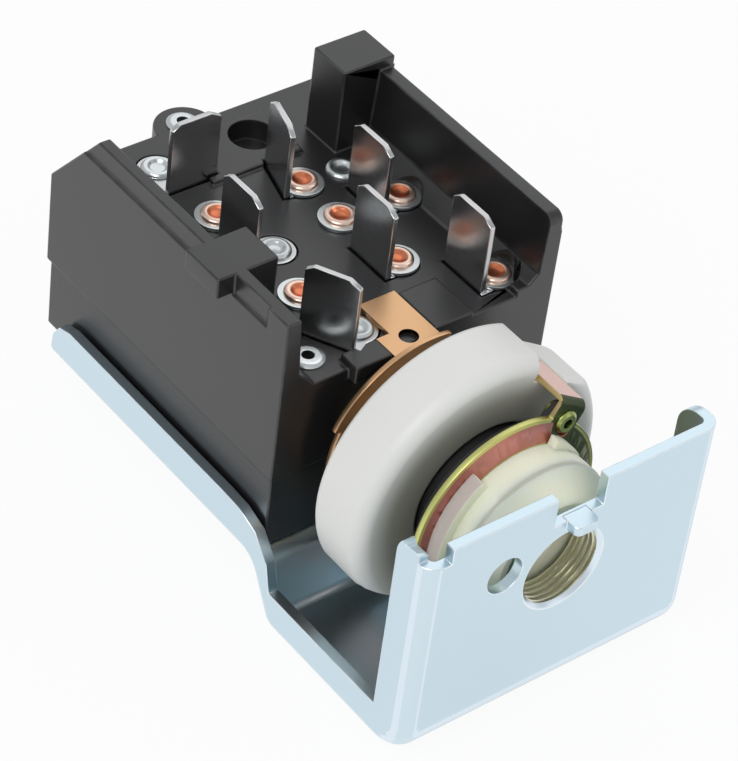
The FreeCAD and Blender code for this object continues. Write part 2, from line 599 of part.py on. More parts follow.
def dial():
    body = solid_body("dial_body")
    back = s.dial_front + s.dial_thick
    floor = s.dial_front + s.dish_depth
    groove = s.coil_radius + s.fit / 2
    groove_floor = back - groove * 2 + s.coil_proud
    drawing = outline(sketch_on(body, "XY_Plane"), [
        (s.dial_bore, floor), (s.dish_radius, floor), (s.dish_radius, s.dial_front),
        (s.dial_radius, s.dial_front), (s.dial_radius, back), (s.coil_ring + groove, back),
        (s.coil_ring + groove, groove_floor), (s.coil_ring - groove, groove_floor),
        (s.coil_ring - groove, back), (s.dial_bore, back)])
    turned = spin(body, drawing)
    rim = rounded(body, turned, s.dial_edge, ring_edge(s.dial_radius, s.dial_front))
    soft = rounded(body, rim, s.dial_edge * 0.4, ring_edge(s.dial_radius, back))
    inner = rounded(body, soft, s.dial_edge * 0.4, ring_edge(s.dish_radius, s.dial_front))
    body.Tip = inner
    half = s.arm_width / 2 + s.seat_gap
    seats = [polar_box(f"arm_seat_{n}", s.arm_seat, s.dial_radius + PAST, s.dial_front - 1, back + 1,
                       -half, half, SIZES["arm_angle"] + n * 180) for n in (0, 1)]
    keep("dial", cut("dial_shape", body, seats))
    wire = doc.addObject("Part::Torus", "coil_torus")
    bind(wire, "Radius1", s.coil_ring)
    bind(wire, "Radius2", s.coil_radius)
    wire.Angle3 = 330
    place(wire, 0, back + s.coil_proud - s.coil_radius, 0, Vector(1, 0, 0), 90)
    keep("resistance_coil", wire)


def retainer():
    y = s.ring_front
    back = s.dial_front + s.dial_thick
    inner_face, flat = y - s.ring_rise, s.hub_radius + s.fit
    disc = solid_body("retainer_disc")
    outline(sketch_on(disc, "XY_Plane"), [
        (s.ring_hole, inner_face), (flat, inner_face), (s.ring_radius - s.ring_rim, y),
        (s.ring_radius, y), (s.ring_radius, y + s.ring_thick),
        (s.ring_radius - s.ring_rim, y + s.ring_thick), (flat, inner_face + s.ring_thick),
        (s.ring_hole, inner_face + s.ring_thick)])
    spin(disc, disc.Group[0])
    outside = s.arm_seat + s.arm_thick
    arms = []
    for number in (0, 1):
        body = solid_body(f"arm_body_{number}")
        profile = outline(sketch_on(body, "XY_Plane"), [
            (s.ring_radius - 2, y), (outside, y), (outside, back + s.arm_thick + s.fit / 2),
            (s.arm_seat - s.arm_hook, back + s.arm_thick + s.fit / 2),
            (s.arm_seat - s.arm_hook, back + s.fit / 2), (s.arm_seat, back + s.fit / 2),
            (s.arm_seat, y + s.ring_thick), (s.ring_radius - 2, y + s.ring_thick)])
        strap = pad(body, profile, s.arm_width, middle=True)
        bend = rounded(body, strap, s.arm_bend, lambda e: near(
            e.CenterOfMass.x, outside.value) and near(e.CenterOfMass.y, y.value))
        hook = rounded(body, bend, s.arm_thick, lambda e: near(
            e.CenterOfMass.x, outside.value) and near(
                e.CenterOfMass.y, (back + s.arm_thick + s.fit / 2).value))
        body.Tip = hook
        arms.append(place(body, 0, 0, 0, Vector(0, -1, 0), SIZES["arm_angle"] + number * 180))
    whole = joined_shape("retainer_whole", [disc] + arms)
    holes = [rod("retainer_hole", s.ring_hole, 0, y - PAST, 0, PAST * 2)]
    for number in (0, 1):
        x, z = turned_point(s.eyelet_ring, 0, SIZES["arm_angle"] + number * 180)
        holes.append(rod(f"retainer_eyelet_hole_{number}", s.eyelet_radius, x, y - PAST, z, PAST * 2))
        holes.append(rod(f"eyelet_seat_{number}", s.eyelet_radius + s.ring_rim + s.fit, x, y - PAST, z,
                         PAST))
    keep("retainer_ring", cut("retainer_shape", whole, holes))


def fibre_washer():
    y = s.ring_front + s.ring_thick
    disc = rod("fibre_disc", s.fibre_radius, 0, y, 0, s.fibre_thick)
    ears, holes = [], [rod("fibre_hole", s.ring_hole, 0, y - PAST, 0, PAST * 2)]
    for number in (0, 1):
        angle = SIZES["arm_angle"] + number * 180
        ears.append(polar_box(f"fibre_ear_{number}", s.fibre_radius - 2, s.arm_seat - s.ring_rim, y,
                              y + s.fibre_thick, -s.arm_width / 2, s.arm_width / 2, angle))
        x, z = turned_point(s.eyelet_ring, 0, angle)
        holes.append(rod(f"fibre_eyelet_hole_{number}", s.eyelet_radius, x, y - PAST, z, PAST * 2))
    whole = joined_shape("fibre_whole", [disc] + ears)
    keep("fibre_washer", cut("fibre_shape", whole, holes))


def arm_eyelets():
    items = []
    y0 = s.ring_front
    y1 = s.ring_front + s.ring_thick + s.fibre_thick
    for number in (0, 1):
        body = solid_body(f"arm_eyelet_{number}")
        outline(sketch_on(body, "XY_Plane"), [
            (s.eyelet_bore, y0 - 0.6), (s.eyelet_radius + 0.1, y0 - 0.6),
            (s.eyelet_radius + 0.5, y0 - 0.25), (s.eyelet_radius + 0.5, y0), (s.eyelet_radius, y0),
            (s.eyelet_radius, y1), (s.eyelet_radius + 0.5, y1), (s.eyelet_radius + 0.4, y1 + 0.5),
            (s.eyelet_bore, y1 + 0.5)])
        spin(body, body.Group[0])
        x, z = turned_point(s.eyelet_ring, 0, SIZES["arm_angle"] + number * 180)
        items.append(place(body, x, 0, z))
    keep("arm_eyelets", together("arm_eyelet_pair", items))


def hub():
    body = solid_body("hub_body")
    floor = s.dial_front + s.dish_depth
    heel = s.ring_front - s.ring_rise
    shoulder = s.dial_front + s.dial_thick - s.fit
    face = s.wiper_y + s.wiper_thick - s.fit / 2
    clip = s.case_front + s.chamber_front
    seat = s.clip_seat
    drawing = outline(sketch_on(body, "XY_Plane"), [
        (s.hub_bore, s.hub_front), (s.hub_radius, s.hub_front), (s.hub_radius, heel),
        (s.ring_hole - s.fit, heel), (s.ring_hole - s.fit, floor),
        (s.dial_bore - s.fit / 2, floor), (s.dial_bore - s.fit / 2, shoulder),
        (s.shoulder, shoulder), (s.shoulder, face), (s.journal, face), (s.journal, clip),
        (seat, clip), (seat, clip + s.clip_thick + s.fit), (s.journal, clip + s.clip_thick + s.fit),
        (s.journal, clip + s.clip_thick + 0.3), (s.hub_bore, clip + s.clip_thick + 0.3)])
    turned = spin(body, drawing)
    soft = rounded(body, turned, s.hub_edge, ring_edge(s.hub_radius, s.hub_front))
    lead = rounded(body, soft, s.hub_edge * 0.7, ring_edge(s.hub_bore, s.hub_front))
    body.Tip = lead
    cam = doc.addObject("Part::Cylinder", "hub_cam")
    bind(cam, "Radius", s.cam_radius)
    bind(cam, "Height", s.cam_thick)
    bind(cam, "Angle", s.cam_sweep)
    cam_back = s.ring_front - s.fit
    cam.Placement = Placement(Vector(0, cam_back.value, 0), Rotation(Vector(1, 0, 0), 90).multiply(
        Rotation(Vector(0, 0, 1), SIZES["cam_start"])))
    bind(cam, "Placement.Base.y", cam_back)
    clear = [rod("cam_clear", s.hub_radius - 1, 0, cam_back - s.cam_thick - 1, 0, s.cam_thick + 2)]
    dish = doc.addObject("Part::Cone", "cam_dish")
    bind(dish, "Radius1", s.hub_radius + s.fit * 2)
    bind(dish, "Radius2", s.ring_radius - s.ring_rim + s.fit)
    bind(dish, "Height", s.ring_rise)
    clear.append(place(dish, 0, heel, 0, Vector(1, 0, 0), -90))
    for number in (0, 1):
        x, z = turned_point(s.eyelet_ring, 0, SIZES["arm_angle"] + number * 180)
        clear.append(rod(f"cam_eyelet_room_{number}", s.eyelet_radius + s.ring_rim * 2, x,
                         cam_back - PAST, z, PAST * 2))
    ring = cut("cam_ring", cam, clear)
    keep("hub", joined_shape("hub_shape", [body, ring]))
    outer = rod("sleeve_outer", s.sleeve_radius, 0, s.ring_front + s.ring_thick + s.fibre_thick, 0,
                floor - s.ring_front - s.ring_thick - s.fibre_thick)
    inner = rod("sleeve_inner", s.ring_hole, 0, s.ring_front, 0, PAST * 2)
    keep("spacer_sleeve", cut("sleeve_shape", outer, [inner]))
    plate = rod("clip_plate", s.clip_radius, 0, clip + s.fit / 2, 0, s.clip_thick)
    gap = [rod("clip_bore", seat + s.fit, 0, clip - 1, 0, 4),
           box("clip_mouth", -s.clip_seat * 0.8, s.clip_seat * 0.8, clip - 1, clip + 3,
               -s.clip_radius - 2, 0)]
    keep("hub_clip", cut("clip_shape", plate, gap))


def contact_plate():
    y0 = s.wiper_y
    top = s.deck
    sectors = []
    for number, (radius, sweep) in enumerate([(s.wiper_radius, s.wide_sweep),
                                              (s.wiper_inner, s.wiper_sweep)]):
        sector = doc.addObject("Part::Cylinder", f"wiper_sector_{number}")
        bind(sector, "Radius", radius)
        bind(sector, "Height", s.wiper_thick)
        bind(sector, "Angle", sweep)
        sector.Placement = Placement(Vector(0, (y0 + s.wiper_thick).value, 0), Rotation(
            Vector(1, 0, 0), 90).multiply(Rotation(Vector(0, 0, 1), SIZES["wiper_start"])))
        bind(sector, "Placement.Base.y", y0 + s.wiper_thick)
        sectors.append(sector)
    neck = box("wiper_neck", -s.tongue_left, s.tongue_right, y0, y0 + s.wiper_thick,
               s.journal + 4, top + s.wiper_thick)
    tongue = box("wiper_tongue", -s.tongue_left, s.tongue_right, y0, s.tongue_rear, top,
                 top + s.wiper_thick)
    fingers = []
    coil_face = s.dial_front + s.dial_thick + s.coil_proud
    for number, (angle, way) in enumerate(((150.0, 1), (207.0, -1))):
        body = solid_body(f"finger_{number}")
        end = s.finger_length * way
        outline(sketch_on(body, "YZ_Plane"), [
            (y0, 0), (y0 + s.wiper_thick, 0), (coil_face + s.tip_lift + s.wiper_thick * 0.7, end),
            (coil_face + s.tip_lift, end)])
        pad(body, body.Group[0], s.finger_width, middle=True)
        x, z = turned_point(s.coil_ring - s.finger_in, 0, angle)
        fingers.append(place(body, x, 0, z, Vector(0, -1, 0), angle))
        tip = doc.addObject("Part::Sphere", f"finger_tip_{number}")
        bind(tip, "Radius", s.tip_radius)
        tip_x, tip_z = turned_point(s.coil_ring - s.finger_in, end - s.tip_radius * way, angle)
        fingers.append(place(tip, tip_x, coil_face + s.tip_radius + 0.02, tip_z))
    whole = joined_shape("wiper_whole", sectors + [neck, tongue] + fingers)
    holes = [rod("wiper_hole", s.wiper_bore, 0, y0 - PAST, 0, PAST * 2),
             rod("tongue_hole_cut", s.tongue_hole, -s.tongue_hole_x, s.tongue_hole_y, top - 2, PAST, "z"),
             box("tongue_side", -s.tongue_left - 1, s.tongue_step - s.tongue_left, s.case_front + 2.1,
                 s.tongue_rear + 1, top - 1, top + 3)]
    keep("contact_plate", cut("contact_plate_shape", whole, holes))


def headed_rivet(name, x, y, low, dish, tail_low):
    # A rivet with a rimmed head on the deck and a flat tail inside; returns its body.
    body = solid_body(name)
    head = s.deck + s.washer_thick if dish else s.deck
    top = head + s.rivet_high
    dip = head + s.rivet_high * 0.3
    outline(sketch_on(body, "XZ_Plane"), [
        (0, dip), (s.rivet_stem * 0.75, dip), (s.rivet_stem * 1.05, top),
        (s.rivet_head * 0.85, top), (s.rivet_head, head + s.rivet_high * 0.4),
        (s.rivet_head, head), (s.rivet_stem, head), (s.rivet_stem, low), (s.rivet_tail, low),
        (s.rivet_tail, tail_low), (0, tail_low)])
    spin(body, body.Group[0], "Z_Axis")
    return place(body, x, y, 0)


def rivets():
    low = s.chamber_top
    tail = s.chamber_top - s.tail_high
    heads = [headed_rivet(f"contact_rivet_{n}", x, y, low, True, tail)
             for n, (x, y) in enumerate(CONTACT_RIVETS)]
    keep("contact_rivets", together("contact_rivet_set", heads))
    rings = []
    for number, (x, y) in enumerate(CONTACT_RIVETS):
        disc = rod(f"washer_{number}", s.washer_radius, x, y, s.deck, s.washer_thick, "z")
        openings = [rod(f"washer_bore_{number}", s.rivet_hole, x, y, s.deck - 1, PAST, "z")]
        room = s.blade_thick / 2 + s.fit
        for name, middle, turn, rivet, taller in TERMINALS:
            if rivet == (x, y):
                openings.append(deck_box(f"{name}_washer_room", middle, turn, -room, room, -PAST, PAST,
                                         s.deck - 1, s.deck + PAST))
        rings.append(cut(f"washer_ring_{number}", disc, openings))
    keep("rivet_washers", together("washer_set", rings))
    plain = [headed_rivet(f"plain_rivet_{n}", x, y, low, False, tail)
             for n, (x, y) in enumerate(PLAIN_RIVETS)]
    keep("plain_rivets", together("plain_rivet_set", plain))
    strip_top = tail - s.fit / 2
    x, y = BREAKER_RIVET
    keep("breaker_rivet", headed_rivet("breaker_rivet_body", x, y, strip_top - s.strip_thick, False,
                                       strip_top - s.strip_thick - s.tail_high))
    spacer = rod("spacer_disc", s.rivet_tail, x, y, strip_top, s.chamber_top - strip_top, "z")
    spacer_bore = rod("spacer_bore", s.rivet_hole, x, y, strip_top - 1, PAST, "z")
    keep("breaker_spacer", cut("spacer_shape", spacer, [spacer_bore]))
    strip_front = BRIDGES[0][1] + s.bridge_length / 2 + s.strip_gap
    strip = box("strip_bar", x - s.blade_strip / 2, x + s.blade_strip / 2, strip_front,
                y + s.blade_strip / 2, strip_top - s.strip_thick, strip_top)
    strip_hole = rod("strip_hole", s.rivet_hole, x, y, strip_top - PAST, PAST * 2, "z")
    keep("breaker_strip", cut("strip_shape", strip, [strip_hole]))


def tube_rivet(name, x, y, bottom, top, stem, head, tail):
    body = solid_body(name)
    bore = stem * 0.62
    outline(sketch_on(body, "XZ_Plane"), [
        (bore, top + 0.55), (stem + 0.2, top + 0.55), (head, top + 0.2), (head, top), (stem, top),
        (stem, bottom), (tail, bottom), (tail, bottom - 0.25), (stem + 0.1, bottom - 0.55),
        (bore, bottom - 0.55)])
    spin(body, body.Group[0], "Z_Axis")
    return place(body, x, y, 0)


def case_rivets():
    floor = -(s.floor_rear + s.sheet)
    x, y = CORNER_EYELET
    keep("corner_eyelet", tube_rivet("corner_eyelet_body", x, y, floor, s.deck, s.rivet_stem,
                                     s.rivet_head, s.rivet_head))
    keep("ear_rivet", tube_rivet("ear_rivet_body", s.ear_x, case_rear + s.ear_set, -s.floor_rear,
                                 s.deck, s.rivet_stem, s.rivet_head, s.rivet_head))
    pins = []
    for number, (px, py) in enumerate(FLOOR_RIVETS):
        body = solid_body(f"floor_rivet_{number}")
        stem = s.rivet_stem * SIZES["pin_share"]
        top = s.deck - 3
        outline(sketch_on(body, "XZ_Plane"), [
            (0, top), (stem, top), (stem, floor), (stem + 0.7, floor), (stem + 0.5, floor - 0.5),
            (0, floor - 0.5)])
        spin(body, body.Group[0], "Z_Axis")
        pins.append(place(body, px, py, 0))
    keep("floor_rivets", together("floor_rivet_set", pins))


def slide():
    rear = case_rear - s.chamber_rear - s.slide_rear_gap
    front = rear - s.slide_length
    low = -s.floor_rear + s.case_floor + s.slide_play
    left = -s.chamber_left + s.slide_play
    block = box("slide_block", left, s.chamber_right - s.slide_play, front, rear, low, s.slide_top)
    tools = [
        rod("shaft_way", s.shaft_bore, 0, front - 1, 0, s.slide_length + 2),
        box("button_channel", -s.channel, s.channel, front - 1, rear + 1, low - 1,
            low + s.channel_high),
        box("latch_slot", -s.latch_half - s.slide_play, s.latch_half + s.slide_play, s.latch_y,
            s.latch_y + s.latch_thick + s.slide_play, low - 1, s.slide_top + 1),
        rod("ball_pocket", s.ball_radius + s.slide_play / 2, left - 1, s.ball_y, -s.ball_z,
            s.ball_depth + 1, "x")]
    bridges, springs = [], []
    spring_low = s.slide_top - s.spring_depth
    bridge_top = s.chamber_top - s.tail_high - s.bridge_play
    for number, (x, y) in enumerate(BRIDGES):
        tools.append(rod(f"spring_well_{number}", s.spring_well, x, y, spring_low,
                         s.spring_depth + 2, "z"))
        plate = box(f"bridge_plate_{number}", x - s.bridge_width / 2, x + s.bridge_width / 2,
                    y - s.bridge_length / 2, y + s.bridge_length / 2, bridge_top - s.bridge_thick,
                    bridge_top)
        bridges.append(plate)
        height = bridge_top - s.bridge_thick - spring_low - s.spring_wire
        springs.append(spring(f"bridge_spring_{number}", x, y, spring_low + s.spring_wire / 2,
                              s.spring_radius, s.spring_wire, height, 4))
    keep("slide", cut("slide_shape", block, tools))
    keep("contact_bridges", together("bridge_set", bridges))
    keep("bridge_springs", together("bridge_spring_set", springs))
    ball = doc.addObject("Part::Sphere", "ball_round")
    bind(ball, "Radius", s.ball_radius)
    ball_x = -s.chamber_left + s.ball_radius + s.bridge_play
    keep("detent_ball", place(ball, ball_x, s.ball_y, -s.ball_z))
    push_x = ball_x + s.ball_radius * 0.83
    room = left + s.ball_depth - push_x - s.spring_wire / 2
    keep("detent_spring", spring("detent_push", push_x, s.ball_y, -s.ball_z, s.ball_radius * 0.75,
                                 s.spring_wire, room, 3, "x"))
    plate = box("latch_plate", -s.latch_half, s.latch_half, s.latch_y + s.slide_play / 2,
                s.latch_y + s.slide_play / 2 + s.latch_thick, -s.latch_low, s.slide_top)
    hole = rod("latch_hole", s.shaft_bore - 0.3, 0, s.latch_y - 2, 0.6, 5)
    keep("shaft_latch", cut("latch_shape", plate, [hole]))


def release_button():
    seat = -(s.floor_rear + s.sheet)
    cap_top = seat - s.button_gap
    floor = -s.floor_rear + s.case_floor
    clip_low = floor + s.bridge_play
    clip_top = clip_low + s.clip_thick
    body = solid_body("button_body")
    neck = s.button_stem * 0.78
    drawing = outline(sketch_on(body, "XZ_Plane"), [
        (0, cap_top - s.button_cap_thick), (s.button_cap, cap_top - s.button_cap_thick),
        (s.button_cap, cap_top), (s.button_stem, cap_top), (s.button_stem, clip_low),
        (neck, clip_low), (neck, clip_top + s.bridge_play), (s.button_stem, clip_top + s.bridge_play),
        (s.button_stem, -s.button_top), (0, -s.button_top)])
    turned = spin(body, drawing, "Z_Axis")
    soft = rounded(body, turned, 0.4, lambda e: near(
        e.CenterOfMass.z, (cap_top - s.button_cap_thick).value) and e.Length > 10)
    body.Tip = soft
    keep("release_button", place(body, 0, s.button_y, 0))
    disc = rod("button_clip_disc", s.button_clip, 0, s.button_y, clip_low,
               s.clip_thick - s.bridge_play, "z")
    open_side = [rod("button_clip_bore", neck + s.bridge_play, 0, s.button_y, clip_low - 1, 3, "z"),
                 box("button_clip_mouth", -s.button_stem * 0.65, s.button_stem * 0.65,
                     s.button_y, s.button_y + 8, clip_low - 1, clip_top + 1)]
    keep("button_clip", cut("button_clip_shape", disc, open_side))
    wire = s.spring_wire
    keep("button_spring", spring("button_coil", 0, s.button_y, cap_top + wire / 2, s.button_spring,
                                 wire, s.button_gap - wire, 2.5))


def build():
    bracket()
    recesses = []
    for entry in TERMINALS:
        recesses += terminal(*entry)
    terminal_block(recesses)
    lower_case()
    dial()
    retainer()
    fibre_washer()
    arm_eyelets()
    hub()
    contact_plate()
    rivets()
    case_rivets()
    slide()
    release_button()
    doc.recompute()


def check_and_write():
    troubled = [item.Name for item in doc.Objects
                if "Invalid" in item.State or "Error" in item.State]
    if troubled:
        raise RuntimeError(f"objects in error: {troubled}")
    os.makedirs("parts", exist_ok=True)
    for node, piece in pieces.items():
        if piece.Shape.isNull() or not piece.Shape.isValid():
            raise RuntimeError(f"shape of {node} is not sound")
        piece.Shape.exportStep(f"parts/{node}.step")
        extent = piece.Shape.BoundBox
        print(node, len(piece.Shape.Solids), round(piece.Shape.Volume, 1), round(extent.XMin, 2),
              round(extent.XMax, 2), round(extent.YMin, 2), round(extent.YMax, 2),
              round(extent.ZMin, 2), round(extent.ZMax, 2))


build()
check_and_write()
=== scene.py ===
import math
import bmesh
import bpy
from mathutils import Matrix, Vector


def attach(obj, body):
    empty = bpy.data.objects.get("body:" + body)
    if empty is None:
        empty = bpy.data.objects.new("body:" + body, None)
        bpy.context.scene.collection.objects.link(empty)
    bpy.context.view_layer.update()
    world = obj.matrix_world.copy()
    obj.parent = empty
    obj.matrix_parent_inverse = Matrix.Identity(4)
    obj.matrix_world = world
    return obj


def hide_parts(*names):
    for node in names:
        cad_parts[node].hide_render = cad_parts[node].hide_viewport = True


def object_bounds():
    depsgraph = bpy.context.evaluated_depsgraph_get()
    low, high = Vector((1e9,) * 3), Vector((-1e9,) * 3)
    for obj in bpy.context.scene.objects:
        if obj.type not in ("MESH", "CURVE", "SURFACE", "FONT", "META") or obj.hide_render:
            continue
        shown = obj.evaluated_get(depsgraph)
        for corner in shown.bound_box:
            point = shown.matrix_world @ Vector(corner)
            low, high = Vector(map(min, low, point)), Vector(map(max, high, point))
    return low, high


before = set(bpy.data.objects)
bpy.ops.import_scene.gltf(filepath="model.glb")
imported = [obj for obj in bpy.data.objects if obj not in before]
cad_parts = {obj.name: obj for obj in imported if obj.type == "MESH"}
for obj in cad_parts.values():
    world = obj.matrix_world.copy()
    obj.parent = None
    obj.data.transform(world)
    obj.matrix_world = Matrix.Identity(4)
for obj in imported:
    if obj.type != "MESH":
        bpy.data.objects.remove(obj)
cadLow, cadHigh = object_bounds()
print("frame loaded:", len(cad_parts), "nodes")

mm = 0.001

# The camera, fitted to the plate, the collar and the case: angles in degrees, places in pixels
photoCamera = {
    "azimuth": -42.59,
    "elevation": 41.13,
    "roll": 7.90,
    "focalPixels": 3300.0,
    "framePixels": (738, 761),
    "axisPoint": Vector((0, -1.5 * mm, 0)),
    "axisPixel": (563.2, 568.05),
    "distance": 388.74 * mm,
    "sensorHeight": 24.0,
    "clipEnd": 10.0,
}

# Lamps: name, place in metres, power in watts and size in metres
studio = {
    "floorDrop": 0.4 * mm,
    "floorSize": 3.0,
    "floorTint": (0.93, 0.93, 0.935, 1),
    "worldTint": (0.97, 0.985, 1.0, 1),
    "paper": (1, 1, 1, 1),
    "worldLevel": 0.62,
    "floorGlow": 0.91,
    "floorShine": 0.75,
    "lamps": (
        ("keyLamp", (-0.36, -0.10, 0.50), 1.3, 0.40),
        ("fillLamp", (0.35, -0.58, 0.20), 0.2, 0.45),
        ("backLamp", (0.34, 0.36, 0.46), 0.35, 0.50),
    ),
}


def addCamera():
    turn = math.radians(photoCamera["azimuth"])
    rise = math.radians(photoCamera["elevation"])
    roll = math.radians(photoCamera["roll"])
    forward = -Vector((math.sin(turn) * math.cos(rise), -math.cos(turn) * math.cos(rise), math.sin(rise)))
    level = forward.cross(Vector((0, 0, 1))).normalized()
    lifted = level.cross(forward)
    right = math.cos(roll) * level + math.sin(roll) * lifted
    up = -math.sin(roll) * level + math.cos(roll) * lifted
    wide, high = photoCamera["framePixels"]
    scale = photoCamera["distance"] / photoCamera["focalPixels"]
    across = (photoCamera["axisPixel"][0] - wide / 2) * scale
    down = (photoCamera["axisPixel"][1] - high / 2) * scale
    eye = photoCamera["axisPoint"] - across * right + down * up - photoCamera["distance"] * forward
    data = bpy.data.cameras.new("photoCamera")
    data.sensor_fit = "VERTICAL"
    data.sensor_height = photoCamera["sensorHeight"]
    data.lens = photoCamera["focalPixels"] * photoCamera["sensorHeight"] / high
    data.clip_end = photoCamera["clipEnd"]
    camera = bpy.data.objects.new("photoCamera", data)
    camera.matrix_world = Matrix((
        (right.x, up.x, -forward.x, eye.x),
        (right.y, up.y, -forward.y, eye.y),
        (right.z, up.z, -forward.z, eye.z),
        (0, 0, 0, 1)))
    bpy.context.scene.collection.objects.link(camera)
    bpy.context.scene.camera = camera


def addLamps():
    aim = (cadLow + cadHigh) / 2
    for name, place, power, size in studio["lamps"]:
        data = bpy.data.lights.new(name, "AREA")
        data.shape = "DISK"
        data.size = size
        data.energy = power
        lamp = bpy.data.objects.new(name, data)
        lamp.location = place
        lamp.rotation_euler = (aim - Vector(place)).to_track_quat("-Z", "Y").to_euler()
        bpy.context.scene.collection.objects.link(lamp)


def mathNode(tree, operation, *values):
    # A math node, fed by sockets or set to plain values
    node = tree.nodes.new("ShaderNodeMath")
    node.operation = operation
    for socket, value in zip(node.inputs, values):
        if isinstance(value, bpy.types.NodeSocket):
            tree.links.new(value, socket)
        else:
            socket.default_value = value
    return node.outputs[0]


def plainLight(tree, kind, tint, strength):
    node = tree.nodes.new(kind)
    node.inputs["Color"].default_value = tint
    node.inputs["Strength"].default_value = strength
    return node.outputs[0]


def mixInto(tree, output, factor, first, second):
    mix = tree.nodes.new("ShaderNodeMixShader")
    for socket, source in zip(mix.inputs, (factor, first, second)):
        tree.links.new(source, socket)
    tree.links.new(mix.outputs[0], output.inputs["Surface"])


def addWorld():
    # Soft light all round, seen by the camera as white paper
    world = bpy.data.worlds.new("studioWorld")
    bpy.context.scene.world = world
    world.use_nodes = True
    tree = world.node_tree
    tree.nodes.clear()
    output = tree.nodes.new("ShaderNodeOutputWorld")
    soft = plainLight(tree, "ShaderNodeBackground", studio["worldTint"], studio["worldLevel"])
    seen = plainLight(tree, "ShaderNodeBackground", studio["paper"], 1.0)
    path = tree.nodes.new("ShaderNodeLightPath")
    mixInto(tree, output, path.outputs["Is Camera Ray"], soft, seen)


def addFloor():
    # A floor that glows towards the camera and into reflections, and takes a faint shadow
    size, low = studio["floorSize"], cadLow.z - studio["floorDrop"]
    mesh = bpy.data.meshes.new("studioFloor")
    mesh.from_pydata([(-size, -size, low), (size, -size, low), (size, size, low), (-size, size, low)],
                     [], [(0, 1, 2, 3)])
    floor = bpy.data.objects.new("studioFloor", mesh)
    bpy.context.scene.collection.objects.link(floor)
    paint = bpy.data.materials.new("studioFloor")
    paint.use_nodes = True
    tree = paint.node_tree
    tree.nodes.clear()
    output = tree.nodes.new("ShaderNodeOutputMaterial")
    matte = tree.nodes.new("ShaderNodeBsdfDiffuse")
    matte.inputs["Color"].default_value = studio["floorTint"]
    glow = plainLight(tree, "ShaderNodeEmission", studio["paper"], 1.0)
    path = tree.nodes.new("ShaderNodeLightPath")
    seen = mathNode(tree, "MULTIPLY", path.outputs["Is Camera Ray"], studio["floorGlow"])
    share = mathNode(tree, "MULTIPLY_ADD", path.outputs["Is Glossy Ray"], studio["floorShine"], seen)
    mixInto(tree, output, share, matte.outputs[0], glow)
    mesh.materials.append(paint)


addCamera()
addWorld()
addLamps()
addFloor()
bpy.context.scene.view_settings.view_transform = "Standard"
print("camera and studio set")


# Values inside the shader groups
groupValues = {
    "fineDetail": 3.0,
    "broadDetail": 2.0,
    "fineShare": 0.7,
    "rimDetail": 4.0,
    "rimFrom": 0.35,
    "rimTo": 0.65,
    "filmDetail": 1.5,
    "filmDistortion": 0.6,
    "noiseMiddle": 0.5,
    "frontFrom": -0.25,
    "frontFull": -0.75,
}


# Shader groups: each gives masks and heights, and every material sets its own values
def newGroup(name, inputs, outputs):
    group = bpy.data.node_groups.new(name, "ShaderNodeTree")
    for label, value in inputs.items():
        socket = group.interface.new_socket(label, in_out="INPUT", socket_type="NodeSocketFloat")
        socket.default_value = value
    for label in outputs:
        group.interface.new_socket(label, in_out="OUTPUT", socket_type="NodeSocketFloat")
    start = group.nodes.new("NodeGroupInput")
    end = group.nodes.new("NodeGroupOutput")
    place = group.nodes.new("ShaderNodeTexCoord")
    return group, start, end, place


def noiseMask(tree, place, scale, detail, distortion=0.0):
    noise = tree.nodes.new("ShaderNodeTexNoise")
    noise.inputs["Detail"].default_value = detail
    noise.inputs["Distortion"].default_value = distortion
    tree.links.new(place.outputs["Object"], noise.inputs["Vector"])
    tree.links.new(scale, noise.inputs["Scale"])
    return noise.outputs["Fac"]


def faceValue(tree, layer):
    # What a mesh says for each face: rim on rounded edges, and a value on marked faces that sets a colour
    # of their own on some and painted light (highlights, shade, a dark reflection) on others
    node = tree.nodes.new("ShaderNodeAttribute")
    node.attribute_name = layer
    return node.outputs["Fac"]


def makeGrainGroup():
    # Fine grain at two scales: two 0 to 1 masks and a height for bump
    group, start, end, place = newGroup(
        "surfaceGrain", {"Fine Scale": 900.0, "Broad Scale": 60.0}, ("Fine", "Broad", "Height"))
    fine = noiseMask(group, place, start.outputs["Fine Scale"], groupValues["fineDetail"])
    broad = noiseMask(group, place, start.outputs["Broad Scale"], groupValues["broadDetail"])
    group.links.new(fine, end.inputs["Fine"])
    group.links.new(broad, end.inputs["Broad"])
    group.links.new(mathNode(group, "MULTIPLY_ADD", fine, groupValues["fineShare"], broad),
                    end.inputs["Height"])
    return group


def makeRimGroup():
    # Worn rims: the rim layer of the rounded edges, broken up by noise
    group, start, end, place = newGroup("rimWear", {"Amount": 0.5, "Break Up": 400.0}, ("Mask",))
    noise = noiseMask(group, place, start.outputs["Break Up"], groupValues["rimDetail"])
    rise = group.nodes.new("ShaderNodeMapRange")
    rise.inputs["From Min"].default_value = groupValues["rimFrom"]
    rise.inputs["From Max"].default_value = groupValues["rimTo"]
    group.links.new(noise, rise.inputs["Value"])
    worn = mathNode(group, "MULTIPLY", faceValue(group, "rim"), rise.outputs["Result"])
    scaled = mathNode(group, "MULTIPLY", worn, start.outputs["Amount"])
    scaled.node.use_clamp = True
    group.links.new(scaled, end.inputs["Mask"])
    return group


